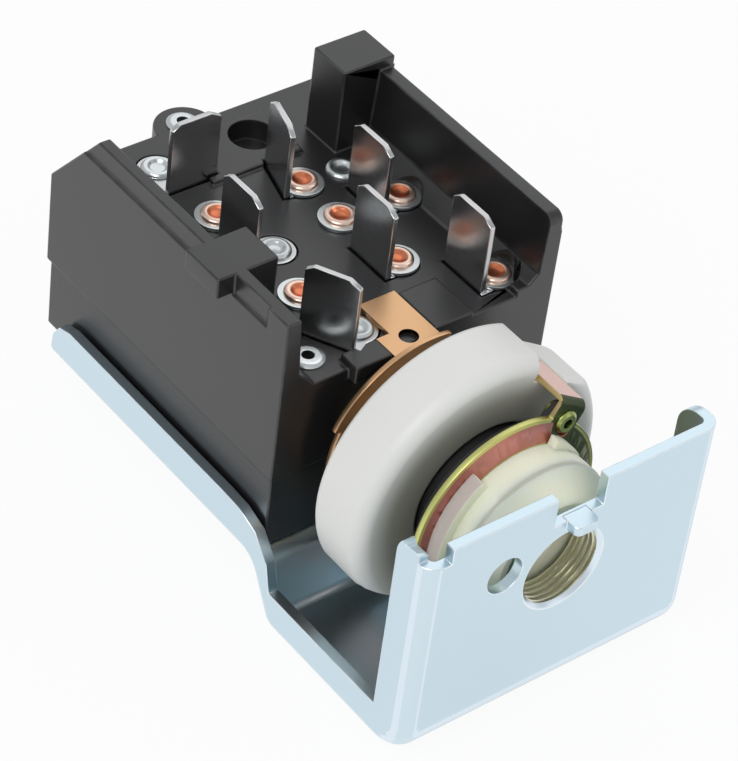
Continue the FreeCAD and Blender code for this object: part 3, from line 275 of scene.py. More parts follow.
def makeFilmGroup():
    # Thickness of a chromate film, with a painted dark reflection where the ring is shaded: each face's
    # own value, made to wander by noise
    group, start, end, place = newGroup(
        "filmBands", {"Scale": 90.0, "Spread": 0.1, "Base": 0.0}, ("Tone",))
    noise = noiseMask(group, place, start.outputs["Scale"], groupValues["filmDetail"],
                      groupValues["filmDistortion"])
    middle = mathNode(group, "SUBTRACT", noise, groupValues["noiseMiddle"])
    spread = mathNode(group, "MULTIPLY_ADD", middle, start.outputs["Spread"],
                      faceValue(group, "faceColourAndPaintedLight"))
    group.links.new(mathNode(group, "ADD", spread, start.outputs["Base"]), end.inputs["Tone"])
    return group


def makeRadialGroup():
    # A mask that rises from 0 at the outer radius to 1 at the smaller one, about the Y axis, used for
    # painted light near an axis
    group, start, end, place = newGroup(
        "radialShade", {"Inner": 0.010, "Outer": 0.020, "Front Only": 1.0}, ("Mask",))
    nodes, links = group.nodes, group.links
    flat = nodes.new("ShaderNodeVectorMath")
    flat.operation = "MULTIPLY"
    flat.inputs[1].default_value = (1, 0, 1)
    links.new(place.outputs["Object"], flat.inputs[0])
    radius = nodes.new("ShaderNodeVectorMath")
    radius.operation = "LENGTH"
    links.new(flat.outputs[0], radius.inputs[0])
    span = nodes.new("ShaderNodeMapRange")
    span.interpolation_type = "SMOOTHSTEP"
    links.new(radius.outputs["Value"], span.inputs["Value"])
    links.new(start.outputs["Inner"], span.inputs["From Min"])
    links.new(start.outputs["Outer"], span.inputs["From Max"])
    span.inputs["To Min"].default_value = 1.0
    span.inputs["To Max"].default_value = 0.0
    facing = nodes.new("ShaderNodeSeparateXYZ")
    links.new(place.outputs["Normal"], facing.inputs[0])
    turned = nodes.new("ShaderNodeMapRange")
    turned.inputs["From Min"].default_value = groupValues["frontFrom"]
    turned.inputs["From Max"].default_value = groupValues["frontFull"]
    links.new(facing.outputs["Y"], turned.inputs["Value"])
    eased = nodes.new("ShaderNodeMix")
    links.new(start.outputs["Front Only"], eased.inputs["Factor"])
    eased.inputs["A"].default_value = 1.0
    links.new(turned.outputs["Result"], eased.inputs["B"])
    both = mathNode(group, "MULTIPLY", span.outputs["Result"], eased.outputs["Result"])
    links.new(both, end.inputs["Mask"])
    return group


grainGroup = makeGrainGroup()
radialGroup = makeRadialGroup()
rimGroup = makeRimGroup()
filmGroup = makeFilmGroup()


def startMaterial(name):
    material = bpy.data.materials.new(name)
    material.use_nodes = True
    tree = material.node_tree
    tree.nodes.clear()
    output = tree.nodes.new("ShaderNodeOutputMaterial")
    shader = tree.nodes.new("ShaderNodeBsdfPrincipled")
    tree.links.new(shader.outputs[0], output.inputs["Surface"])
    return material, tree, shader


def placeGroup(tree, group, **values):
    node = tree.nodes.new("ShaderNodeGroup")
    node.node_tree = group
    for label, value in values.items():
        node.inputs[label.replace("_", " ")].default_value = value
    return node


def colourBetween(tree, factor, first, second):
    mix = tree.nodes.new("ShaderNodeMix")
    mix.data_type = "RGBA"
    tree.links.new(factor, mix.inputs["Factor"])
    for socket, value in ((mix.inputs["A"], first), (mix.inputs["B"], second)):
        if isinstance(value, bpy.types.NodeSocket):
            tree.links.new(value, socket)
        else:
            socket.default_value = (*value, 1)
    return mix.outputs["Result"]


def valueBetween(tree, factor, low, high):
    span = tree.nodes.new("ShaderNodeMapRange")
    span.inputs["To Min"].default_value = low
    span.inputs["To Max"].default_value = high
    tree.links.new(factor, span.inputs["Value"])
    return span.outputs["Result"]


def addBump(tree, shader, height, strength, distance):
    bump = tree.nodes.new("ShaderNodeBump")
    bump.inputs["Strength"].default_value = strength
    bump.inputs["Distance"].default_value = distance
    tree.links.new(height, bump.inputs["Height"])
    tree.links.new(bump.outputs["Normal"], shader.inputs["Normal"])


# What the finishes share: noise scales of the wear, bump depths and the scattering, in metres
finishValues = {
    "metalBreakUp": 500.0,
    "mouldedBreakUp": 300.0,
    "metalDepth": 0.02 * mm,
    "mouldedDepth": 0.03 * mm,
    "scatterRadius": (0.004, 0.003, 0.002),
    "scatterScale": 0.5,
    "specular": 0.5,
}


def tintedBy(tree, colour, look):
    # Mixes in painted light for the zone near the axis (painted shade on the dial's front, a painted
    # reflection in the collar's thread) and the colours of marked faces (painted highlights on the
    # bracket, painted shade in the tongue's hole, the hub step's darker mauve-grey, the copper rivets'
    # dish), where the look has them
    if "inner" in look:
        shade = placeGroup(tree, radialGroup, Inner=look["innerRadius"] * mm,
                           Outer=look["outerRadius"] * mm, Front_Only=look["frontOnly"])
        colour = colourBetween(tree, shade.outputs["Mask"], colour, look["inner"])
    if "dish" in look:
        colour = colourBetween(tree, faceValue(tree, "faceColourAndPaintedLight"), colour, look["dish"])
    return colour


def addGloss(tree, shader, grain, look, depth):
    rough = valueBetween(tree, grain.outputs["Fine"], look["smooth"], look["rough"])
    tree.links.new(rough, shader.inputs["Roughness"])
    addBump(tree, shader, grain.outputs["Height"], look["bump"], depth)


def wornFinish(name, look, breakUp, depth):
    # Two tones in broad patches, uneven gloss, fine grain and brighter worn rims
    material, tree, shader = startMaterial(name)
    grain = placeGroup(tree, grainGroup, Fine_Scale=look["grain"], Broad_Scale=look["patches"])
    worn = placeGroup(tree, rimGroup, Amount=look["wear"], Break_Up=breakUp)
    body = colourBetween(tree, grain.outputs["Broad"], look["tone"], look["shade"])
    body = tintedBy(tree, body, look)
    colour = colourBetween(tree, worn.outputs["Mask"], body, look["rim"])
    tree.links.new(colour, shader.inputs["Base Color"])
    addGloss(tree, shader, grain, look, depth)
    return material, shader


def metalFinish(name, look):
    # A plated or rolled metal
    material, shader = wornFinish(name, look, finishValues["metalBreakUp"], finishValues["metalDepth"])
    shader.inputs["Metallic"].default_value = 1.0
    return material


def mouldedFinish(name, look):
    # A moulded or fired body
    material, shader = wornFinish(name, look, finishValues["mouldedBreakUp"],
                                  finishValues["mouldedDepth"])
    shader.inputs["Specular IOR Level"].default_value = look.get("specular", finishValues["specular"])
    shader.inputs["Subsurface Weight"].default_value = look.get("glow", 0.0)
    shader.inputs["Subsurface Radius"].default_value = finishValues["scatterRadius"]
    shader.inputs["Subsurface Scale"].default_value = finishValues["scatterScale"]
    return material


def chromateFinish(name, look):
    # Yellow chromate on zinc: the film runs from pale pink through red and gold to green, and its
    # near-black dark green end is a painted dark reflection
    material, tree, shader = startMaterial(name)
    faceColourAndPaintedLight = placeGroup(tree, filmGroup, Scale=look["bands"], Spread=look["spread"], Base=look["base"])
    grain = placeGroup(tree, grainGroup, Fine_Scale=look["grain"], Broad_Scale=look["patches"])
    ramp = tree.nodes.new("ShaderNodeValToRGB")
    stops = ramp.color_ramp.elements
    for number, (place, colour) in enumerate(chromateFilmAndDarkReflection):
        stop = stops[number] if number < len(stops) else stops.new(place)
        stop.position = place
        stop.color = (*colour, 1)
    tree.links.new(faceColourAndPaintedLight.outputs["Tone"], ramp.inputs["Fac"])
    tree.links.new(ramp.outputs["Color"], shader.inputs["Base Color"])
    shader.inputs["Metallic"].default_value = 1.0
    addGloss(tree, shader, grain, look, finishValues["metalDepth"])
    return material


# The film's colours from its thinnest place to its thickest, the last near-black stop being a painted
# dark reflection
chromateFilmAndDarkReflection = (
    (0.0, (0.86, 0.66, 0.60)), (0.22, (0.66, 0.30, 0.25)), (0.40, (0.58, 0.22, 0.19)),
    (0.60, (0.80, 0.62, 0.30)), (0.76, (0.66, 0.72, 0.24)), (0.97, (0.035, 0.05, 0.03)))

# How each finish is made: colours are linear, and the radii of the zone near the axis, where painted
# light goes, are in mm
looks = {
    "bracketZinc": (metalFinish, {
        "tone": (0.66, 0.80, 0.87), "shade": (0.63, 0.77, 0.85), "rim": (0.90, 0.95, 0.98),
        "grain": 2200.0, "patches": 25.0, "smooth": 0.27, "rough": 0.34, "wear": 1.2, "bump": 0.08,
        # The marked faces, at the sheet's bends, its side faces and the collar's mouth, take a pale
        # painted highlight
        "dish": (0.80, 0.90, 0.98), "inner": (0.80, 0.79, 0.66), "innerRadius": 5.98,
        # Painted reflection: the collar's thread, within about 6 mm of the axis, is tinted olive as
        # though it mirrored the cream hub
        "outerRadius": 6.12, "frontOnly": 0.0}),
    "caseBlack": (mouldedFinish, {
        "tone": (0.011, 0.011, 0.012), "shade": (0.014, 0.014, 0.015), "rim": (0.05, 0.05, 0.052),
        "grain": 1400.0, "patches": 70.0, "smooth": 0.30, "rough": 0.36, "wear": 0.5, "bump": 0.06,
        "specular": 0.75}),
    "hubNylon": (mouldedFinish, {
        "tone": (0.90, 0.90, 0.72), "shade": (0.85, 0.85, 0.67), "rim": (0.92, 0.92, 0.82),
        "grain": 900.0, "patches": 60.0, "smooth": 0.28, "rough": 0.36, "wear": 0.4, "bump": 0.04,
        # The marked faces on the hub's step take a darker mauve-grey
        "glow": 0.45, "dish": (0.56, 0.49, 0.45)}),
    "dialCeramic": (mouldedFinish, {
        "tone": (0.80, 0.80, 0.77), "shade": (0.77, 0.77, 0.74), "rim": (0.84, 0.84, 0.82),
        "grain": 1600.0, "patches": 40.0, "smooth": 0.34, "rough": 0.44, "wear": 0.2, "bump": 0.03,
        # Painted shade: the dial's front face is painted darker and greener towards the hub, where the
        # ring and the plate shade it
        "inner": (0.34, 0.34, 0.29), "innerRadius": 13.2, "outerRadius": 18.2, "frontOnly": 1.0}),
    "ringChromate": (chromateFinish, {
        "bands": 55.0, "spread": 0.12, "base": 0.0, "grain": 1500.0,
        "patches": 80.0, "smooth": 0.34, "rough": 0.42, "bump": 0.02}),
    "eyeletChromate": (chromateFinish, {
        "bands": 300.0, "spread": 0.26, "base": 0.82, "grain": 1500.0,
        "patches": 80.0, "smooth": 0.20, "rough": 0.30, "bump": 0.03}),
    "washerFibre": (mouldedFinish, {
        "tone": (0.012, 0.012, 0.012), "shade": (0.02, 0.02, 0.02), "rim": (0.05, 0.05, 0.05),
        "grain": 1500.0, "patches": 200.0, "smooth": 0.45, "rough": 0.6, "wear": 0.4, "bump": 0.5}),
    "coilWire": (metalFinish, {
        "tone": (0.42, 0.38, 0.34), "shade": (0.34, 0.30, 0.28), "rim": (0.5, 0.46, 0.42),
        "grain": 2000.0, "patches": 300.0, "smooth": 0.3, "rough": 0.5, "wear": 0.3, "bump": 0.4}),
    "contactBronze": (metalFinish, {
        "tone": (0.76, 0.47, 0.26), "shade": (0.72, 0.43, 0.23), "rim": (0.84, 0.58, 0.36),
        "grain": 1800.0, "patches": 60.0, "smooth": 0.28, "rough": 0.36, "wear": 0.6, "bump": 0.06,
        # The marked faces, inside the tongue's small hole, take a near-black painted shade
        "dish": (0.02, 0.015, 0.01)}),
    "bladeTin": (metalFinish, {
        "tone": (0.60, 0.60, 0.60), "shade": (0.50, 0.50, 0.51), "rim": (0.92, 0.93, 0.94),
        "grain": 1500.0, "patches": 160.0, "smooth": 0.16, "rough": 0.30, "wear": 0.9, "bump": 0.15}),
    "rivetCopper": (metalFinish, {
        "tone": (0.96, 0.72, 0.60), "shade": (0.92, 0.66, 0.54), "rim": (0.96, 0.80, 0.70),
        "dish": (0.78, 0.24, 0.12), "grain": 1800.0, "patches": 300.0, "smooth": 0.26, "rough": 0.36,
        "wear": 0.3, "bump": 0.06}),
    "rivetZinc": (metalFinish, {
        "tone": (0.72, 0.76, 0.76), "shade": (0.62, 0.66, 0.67), "rim": (0.88, 0.92, 0.92),
        "grain": 1500.0, "patches": 200.0, "smooth": 0.24, "rough": 0.34, "wear": 0.6, "bump": 0.08}),
    "springSteel": (metalFinish, {
        "tone": (0.50, 0.50, 0.51), "shade": (0.42, 0.42, 0.44), "rim": (0.7, 0.7, 0.7),
        "grain": 1500.0, "patches": 300.0, "smooth": 0.2, "rough": 0.34, "wear": 0.4, "bump": 0.15}),
    "slidePhenolic": (mouldedFinish, {
        "tone": (0.14, 0.08, 0.045), "shade": (0.10, 0.055, 0.03), "rim": (0.24, 0.16, 0.1),
        "grain": 900.0, "patches": 150.0, "smooth": 0.35, "rough": 0.5, "wear": 0.4, "bump": 0.3}),
    "buttonZinc": (metalFinish, {
        "tone": (0.66, 0.67, 0.68), "shade": (0.58, 0.59, 0.60), "rim": (0.88, 0.88, 0.88),
        "grain": 1500.0, "patches": 300.0, "smooth": 0.24, "rough": 0.38, "wear": 0.6, "bump": 0.2}),
}

finishes = {name: make(name, look) for name, (make, look) in looks.items()}
print("finishes made:", len(finishes))


# How the CAD meshes are merged, softened and shaded: mm and degrees
meshValues = {
    "mergeWithin": 0.003,
    "flatWithin": 0.4,
    "roundSegments": 2,
    "roundProfile": 0.6,
    "roundAbove": 35,
    "smoothBelow": 32,
    "sheetBelow": 40,
    "normalWeight": 60,
}


def mergedNode(nodeName):
    # A working copy of a CAD node: its loose triangles are merged and its flat faces made whole
    bm = bmesh.new()
    bm.from_mesh(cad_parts[nodeName].data)
    bmesh.ops.remove_doubles(bm, verts=bm.verts, dist=meshValues["mergeWithin"] * mm)
    bmesh.ops.dissolve_limit(bm, angle_limit=math.radians(meshValues["flatWithin"]),
                             verts=bm.verts, edges=bm.edges)
    return bm


def roundEdges(bm, width, above):
    # Rounds the edges that bend more than an angle, and marks the new faces as rim
    rim = bm.faces.layers.float.new("rim")
    limit = math.radians(above)
    edges = [e for e in bm.edges if len(e.link_faces) == 2 and e.calc_face_angle(0) > limit]
    made = bmesh.ops.bevel(bm, geom=edges, offset=width * mm, offset_type="OFFSET",
                           segments=meshValues["roundSegments"], profile=meshValues["roundProfile"],
                           affect="EDGES", clamp_overlap=False, miter_outer="SHARP")
    for face in made["faces"]:
        face[rim] = 1.0


def aboutY(bm, radius, y, angle):
    # A new vertex at a radius and angle about the Y axis, in mm
    return bm.verts.new((radius * math.cos(angle) * mm, y * mm, radius * math.sin(angle) * mm))


def scaleAboutY(vert, factor):
    vert.co.x *= factor
    vert.co.z *= factor


def joinRings(bm, first, second):
    # Faces between two closed rings of vertices, which may meet in a pole
    count = len(first)
    for n in range(count):
        after = (n + 1) % count
        corners = (first[n], first[after], second[after], second[n])
        bm.faces.new(list(dict.fromkeys(corners)))


def sweepRings(bm, rings):
    # A closed bar through a row of rings
    for first, second in zip(rings, rings[1:]):
        joinRings(bm, first, second)
    bm.faces.new(rings[0])
    bm.faces.new(list(reversed(rings[-1])))


# The dial's flats beside the arms and the washer's ears under them: mm and degrees
armPlaces = {
    "angle": 57.0,
    "flatAt": 16.42,
    "flatSide": -1.4,
    "earAt": 13.7,
    "earShrink": 0.56,
    "washerFrom": 12.8,
    "washerTo": 13.2,
    "washerShrink": 0.955,
}


def armFrame(co, number):
    # Distances along and across the arm's direction
    angle = math.radians(armPlaces["angle"] + 180 * number)
    along = co.x * math.cos(angle) + co.z * math.sin(angle)
    across = co.z * math.cos(angle) - co.x * math.sin(angle)
    return angle, along, across


def setArmFrame(co, angle, along, across):
    co.x = along * math.cos(angle) - across * math.sin(angle)
    co.z = along * math.sin(angle) + across * math.cos(angle)


# Places on the chromate film and on its near-black painted dark reflection, and where the ring's faces
# turn from one to the next: mm, degrees and the parts of a face's normal
ringMarks = {
    "face": 0.33,
    "rim": 0.72,
    "paintedDarkReflection": 0.95,
    "armBack": 0.06,
    "armEdge": 0.58,
    "rimStart": 13.1,
    "armStart": 14.2,
    "flatFrom": 11.5,
    "armHalf": 2.5,
    "shadeFrom": 8.0,
    "shadeTo": 66.0,
    "squareFront": -0.97,
    "shadeFacing": -0.3,
    "faceFacing": 0.5,
    "armFacing": -0.2,
    "armOutward": 0.6,
    "splitWithin": 0.0001,
}


def polar(centre):
    # Radius and turn in degrees about the Y axis
    return math.hypot(centre.x, centre.z), math.degrees(math.atan2(centre.z, centre.x))


def outwardShare(centre, normal):
    radius = math.hypot(centre.x, centre.z)
    return (normal.x * centre.x + normal.z * centre.z) / max(radius, mm)


def ringFilmAndDarkReflection(centre, normal):
    # The arms' fronts and the faces in the shaded turn take the near-black end of the ramp as a painted
    # dark reflection
    radius, turn = polar(centre)
    across = abs(armFrame(centre, 0)[2])
    if normal.y < ringMarks["squareFront"]:
        onArm = across < ringMarks["armHalf"] * mm and radius > ringMarks["flatFrom"] * mm
        return ringMarks["paintedDarkReflection" if onArm else "rim"]
    inTurn = ringMarks["shadeFrom"] < turn % 180 < ringMarks["shadeTo"]
    shaded = inTurn and normal.y < ringMarks["shadeFacing"]
    if radius < ringMarks["rimStart"] * mm and normal.y < ringMarks["faceFacing"]:
        return ringMarks["paintedDarkReflection" if shaded else "face"]
    if shaded and radius > ringMarks["rimStart"] * mm:
        return ringMarks["paintedDarkReflection"]
    if radius < ringMarks["armStart"] * mm:
        return ringMarks["rim"]
    if normal.y < ringMarks["armFacing"]:
        return ringMarks["paintedDarkReflection"]
    onFlat = abs(outwardShare(centre, normal)) > ringMarks["armOutward"]
    return ringMarks["armBack" if onFlat else "armEdge"]


def splitRing(bm):
    # Edges along both sides of the arms, so that their flats can be marked apart from the rim
    angle = math.radians(armPlaces["angle"])
    across = Vector((-math.sin(angle), 0, math.cos(angle)))
    for side in (-1, 1):
        bmesh.ops.bisect_plane(bm, geom=bm.verts[:] + bm.edges[:] + bm.faces[:],
                               dist=ringMarks["splitWithin"] * mm,
                               plane_co=across * side * ringMarks["armHalf"] * mm, plane_no=across)


# The hub's step, marked where it is given a darker mauve-grey: mm, degrees and a share of the normal
hubMarks = {
    "stepOutside": 12.1,
    "stepRear": 9.3,
    "stepTurn": 90.0,
    "stepOutward": 0.7,
}


def hubStepMark(centre, normal):
    radius, turn = polar(centre)
    onStep = (radius > hubMarks["stepOutside"] * mm and turn % 360 > hubMarks["stepTurn"]
              and centre.y < hubMarks["stepRear"] * mm)
    return 1.0 if onStep and outwardShare(centre, normal) > hubMarks["stepOutward"] else 0.0


def markFaceValues(bm, rule):
    bm.normal_update()
    faceColourAndPaintedLight = bm.faces.layers.float.new("faceColourAndPaintedLight")
    for face in bm.faces:
        face[faceColourAndPaintedLight] = rule(face.calc_center_median(), face.normal)


def placePiece(piece, nodeName, body):
    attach(piece, body)
    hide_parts(nodeName)


def finishPiece(bm, nodeName, finish, body, smoothBelow):
    name = f"{nodeName}_finished"
    bmesh.ops.recalc_face_normals(bm, faces=bm.faces)
    mesh = bpy.data.meshes.new(name)
    bm.to_mesh(mesh)
    bm.free()
    mesh.shade_smooth()
    mesh.set_sharp_from_angle(angle=math.radians(smoothBelow))
    mesh.materials.append(finishes[finish])
    piece = bpy.data.objects.new(name, mesh)
    bpy.context.scene.collection.objects.link(piece)
    even = piece.modifiers.new("evenNormals", "WEIGHTED_NORMAL")
    even.keep_sharp = True
    even.weight = meshValues["normalWeight"]
    placePiece(piece, nodeName, body)


# Each node's finish, edge rounding in mm, the body it rides on and its material slot
pieceLooks = {
    "terminal_block": ("caseBlack", 0.28, "case", "black_plastic"),
    "lower_case": ("caseBlack", 0.30, "case", "black_plastic"),
    "hub": ("hubNylon", 0.15, "dimmer", "nylon"),
    # The spacer sleeve takes the black fibre finish; it is a fibre part, and its black, seen down the
    # dial's bore, also stands in as painted shade of that deep bore
    "spacer_sleeve": ("washerFibre", 0.10, "dimmer", "fibre"),
    "dial": ("dialCeramic", 0.20, "dimmer", "ceramic"),
    "retainer_ring": ("ringChromate", 0.14, "dimmer", "yellow_zinc_steel"),
    "arm_eyelets": ("eyeletChromate", 0.05, "dimmer", "yellow_zinc_steel"),
    "fibre_washer": ("washerFibre", 0.10, "dimmer", "fibre"),
    "hub_clip": ("springSteel", 0.06, "dimmer", "spring_steel"),
    "contact_plate": ("contactBronze", 0.10, "case", "bronze"),
    "rivet_washers": ("rivetZinc", 0.14, "case", "zinc"),
    "breaker_rivet": ("rivetZinc", 0.12, "case", "zinc"),
    "breaker_spacer": ("rivetZinc", 0.05, "case", "zinc"),
    "breaker_strip": ("contactBronze", 0.05, "case", "bronze"),
    "corner_eyelet": ("rivetZinc", 0.08, "case", "zinc"),
    "ear_rivet": ("rivetZinc", 0.08, "case", "zinc"),
    "floor_rivets": ("rivetZinc", 0.10, "case", "zinc"),
    "slide": ("slidePhenolic", 0.15, "slide_carrier", "slide_plastic"),
    "contact_bridges": ("contactBronze", 0.10, "slide_carrier", "bronze"),
    "shaft_latch": ("springSteel", 0.08, "slide_carrier", "spring_steel"),
    "release_button": ("buttonZinc", 0.12, "button", "button_steel"),
    "button_clip": ("springSteel", 0.06, "button", "spring_steel"),
}
for number in range(1, 8):
    pieceLooks[f"terminal_{number}"] = ("bladeTin", 0.14, "case", "tinned_brass")

# The tongue's bend over the case's front edge, and its small hole where painted shade goes, in mm
tongueBend = {
    "radius": 1.1,
    "segments": 5,
    "profile": 0.5,
    "edgeAt": (26.2, 12.9),
    "edgeWithin": 0.05,
    "holeAt": (-0.5, 30.0),
    "holeReach": 1.4,
    "holeSide": 0.5,
    "cornerFrom": 3.0,
    "cornerTo": 2.3,
    "cornerRear": 27.3,
}


def bendTongue(bm):
    # Rounds the edge where the wiper plate turns back over the deck
    y, z = tongueBend["edgeAt"]
    near = tongueBend["edgeWithin"] * mm
    edges = [e for e in bm.edges if all(
        abs(v.co.y - y * mm) < near and abs(v.co.z - z * mm) < near for v in e.verts)]
    bmesh.ops.bevel(bm, geom=edges, offset=tongueBend["radius"] * mm, offset_type="OFFSET",
                    segments=tongueBend["segments"], profile=tongueBend["profile"], affect="EDGES")
    for vert in bm.verts:
        if vert.co.x > tongueBend["cornerFrom"] * mm and vert.co.y < tongueBend["cornerRear"] * mm:
            vert.co.x = tongueBend["cornerTo"] * mm


def tongueHoleShade(centre, normal):
    # Painted shade: the inside of the tongue's small hole is marked to be painted dark
    x, y = tongueBend["holeAt"]
    inside = math.hypot(centre.x - x * mm, centre.y - y * mm) < tongueBend["holeReach"] * mm
    return 1.0 if inside and abs(normal.z) < tongueBend["holeSide"] else 0.0


# The hub's domed nose between its drum and the plate: radius and Y of its outline, in mm
noseShape = {
    "steps": 72,
    "outline": (
        (6.75, 5.4), (10.6, 5.4), (10.92, 4.85), (11.01, 4.6), (11.02, 4.28), (10.9, 4.03),
        (10.62, 3.8), (9.95, 3.15), (9.2, 2.4), (8.55, 1.65), (8.0, 1.05), (7.7, 0.9), (6.75, 0.9)),
    "edgeFrom": 9.6,
    "edgeTo": 10.98,
    "edgeRear": 4.35,
    "edgePulled": 9.5,
}


def addHubNose(bm):
    # The drum's rounded front edge goes inside the nose
    for vert in bm.verts:
        radius = math.hypot(vert.co.x, vert.co.z) / mm
        onEdge = noseShape["edgeFrom"] < radius < noseShape["edgeTo"]
        if onEdge and vert.co.y < noseShape["edgeRear"] * mm:
            scaleAboutY(vert, noseShape["edgePulled"] / radius)
    steps = noseShape["steps"]
    rings = [[aboutY(bm, radius, y, 2 * math.pi * n / steps) for n in range(steps)]
             for radius, y in noseShape["outline"]]
    for first, second in zip(rings, rings[1:] + rings[:1]):
        joinRings(bm, first, second)


# The step's far end on the hub, cut back round the eyelet of the upper arm: mm and degrees
hubStep = {
    "inside": 10.8,
    "outside": 12.4,
    "front": 7.0,
    "rear": 8.3,
    "from": 42.0,
    "to": 70.0,
    "slices": 14,
    "lowEnd": 11.1,
}


def addHubStep(bm):
    rings = []
    for number in range(hubStep["slices"] + 1):
        share = number / hubStep["slices"]
        angle = math.radians(hubStep["from"] + (hubStep["to"] - hubStep["from"]) * share)
        outside = hubStep["lowEnd"] + (hubStep["outside"] - hubStep["lowEnd"]) * share
        corners = ((hubStep["inside"], hubStep["front"]), (outside, hubStep["front"]),
                   (outside, hubStep["rear"]), (hubStep["inside"], hubStep["rear"]))
        rings.append([aboutY(bm, radius, y, angle) for radius, y in corners])
    sweepRings(bm, rings)


def reshapeHub(bm):
    addHubNose(bm)
    addHubStep(bm)


def flattenDial(bm):
    for vert in bm.verts:
        for number in (0, 1):
            angle, along, across = armFrame(vert.co, number)
            if along > armPlaces["flatAt"] * mm and across < armPlaces["flatSide"] * mm:
                setArmFrame(vert.co, angle, armPlaces["flatAt"] * mm, across)


def narrowEars(bm):
    for vert in bm.verts:
        for number in (0, 1):
            angle, along, across = armFrame(vert.co, number)
            if along > armPlaces["earAt"] * mm:
                setArmFrame(vert.co, angle, along, across * armPlaces["earShrink"])
        radius = math.hypot(vert.co.x, vert.co.z) / mm
        if armPlaces["washerFrom"] < radius < armPlaces["washerTo"]:
            scaleAboutY(vert, armPlaces["washerShrink"])


reshapes = {"contact_plate": bendTongue, "retainer_ring": splitRing, "hub": reshapeHub,
            "dial": flattenDial, "fibre_washer": narrowEars}
faceValueRules = {"retainer_ring": ringFilmAndDarkReflection, "hub": hubStepMark, "contact_plate": tongueHoleShade}

for nodeName, (finish, width, body, slot) in pieceLooks.items():
    bm = mergedNode(nodeName)
    if nodeName in reshapes:
        reshapes[nodeName](bm)
    roundEdges(bm, width, meshValues["roundAbove"])
    if nodeName in faceValueRules:
        bmesh.ops.recalc_face_normals(bm, faces=bm.faces)
        markFaceValues(bm, faceValueRules[nodeName])
    finishPiece(bm, nodeName, finish, body, meshValues["smoothBelow"])
print("moulded and metal pieces finished:", len(pieceLooks))


# Springs and the ball keep their CAD shape and get their metal
for nodeName in ("bridge_springs", "detent_spring", "button_spring", "detent_ball"):
    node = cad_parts[nodeName]
    node.data.materials.clear()
    node.data.materials.append(finishes["springSteel"])


# Rivets: one turned profile, radius and height in mm, set on each rivet's axis by a node tree
rivetShapes = {
    "seed": 7,
    "steps": 40,
    "dishEdge": 1.28,
    "dishDepth": 0.5,
    "smoothBelow": 50,
    "sizeSpread": 0.02,
    "contactProfile": (
        (0.0, 12.80), (0.55, 12.81), (0.90, 12.90), (1.12, 13.06), (1.30, 13.19), (1.50, 13.25),
        (1.75, 13.24), (1.98, 13.15), (2.14, 12.98), (2.19, 12.80), (2.19, 12.70), (1.30, 12.70)),
    "plainProfile": (
        (0.0, 12.32), (0.60, 12.33), (0.95, 12.42), (1.15, 12.58), (1.34, 12.71), (1.55, 12.77),
        (1.78, 12.74), (1.98, 12.63), (2.13, 12.45), (2.19, 12.28), (2.19, 12.20), (1.30, 12.20)),
    "stem": ((1.30, 8.0), (1.65, 8.0), (1.65, 7.42), (1.53, 7.30), (0.0, 7.30)),
}


def axesOf(nodeName):
    # The middle of each loose part of a node, where its axis stands, in the same order each run
    bm = mergedNode(nodeName)
    waiting, middles = dict.fromkeys(bm.verts), []
    while waiting:
        found, edge = [], [waiting.popitem()[0]]
        while edge:
            vert = edge.pop()
            found.append(vert.co.copy())
            for link in vert.link_edges:
                other = link.other_vert(vert)
                if other in waiting:
                    del waiting[other]
                    edge.append(other)
        low = [min(co[axis] for co in found) for axis in range(2)]
        high = [max(co[axis] for co in found) for axis in range(2)]
        middles.append(Vector(((low[0] + high[0]) / 2, (low[1] + high[1]) / 2, 0)))
    bm.free()
    return middles


def turnedProfile(name, profile):
    # A closed solid of revolution about Z, with its dish marked for the finish
    bm = bmesh.new()
    steps = rivetShapes["steps"]
    rings = []
    for radius, height in profile:
        if radius == 0:
            rings.append([bm.verts.new((0, 0, height * mm))] * steps)
            continue
        rings.append([bm.verts.new((radius * math.cos(2 * math.pi * n / steps) * mm,
                                    radius * math.sin(2 * math.pi * n / steps) * mm, height * mm))
                      for n in range(steps)])
    for first, second in zip(rings, rings[1:]):
        joinRings(bm, first, second)
    bmesh.ops.recalc_face_normals(bm, faces=bm.faces)
    edge, low = rivetShapes["dishEdge"] * mm, (profile[0][1] - rivetShapes["dishDepth"]) * mm
    markFaceValues(bm, lambda centre, normal: float(
        math.hypot(centre.x, centre.y) < edge and centre.z > low))
    mesh = bpy.data.meshes.new(name)
    bm.to_mesh(mesh)
    bm.free()
    mesh.shade_smooth()
    mesh.set_sharp_from_angle(angle=math.radians(rivetShapes["smoothBelow"]))
    head = bpy.data.objects.new(name, mesh)
    bpy.context.scene.collection.objects.link(head)
    return head


def newTree(name, inputs):
    # A geometry node tree with its named inputs, which takes a mesh's vertices as points
    tree = bpy.data.node_groups.new(name, "GeometryNodeTree")
    for label, kind in {"Geometry": "Geometry", **inputs, "Material": "Material"}.items():
        tree.interface.new_socket(label, in_out="INPUT", socket_type=f"NodeSocket{kind}")
    tree.interface.new_socket("Geometry", in_out="OUTPUT", socket_type="NodeSocketGeometry")
    start = tree.nodes.new("NodeGroupInput")
    points = tree.nodes.new("GeometryNodeMeshToPoints")
    tree.links.new(start.outputs["Geometry"], points.inputs["Mesh"])
    return tree, start, points


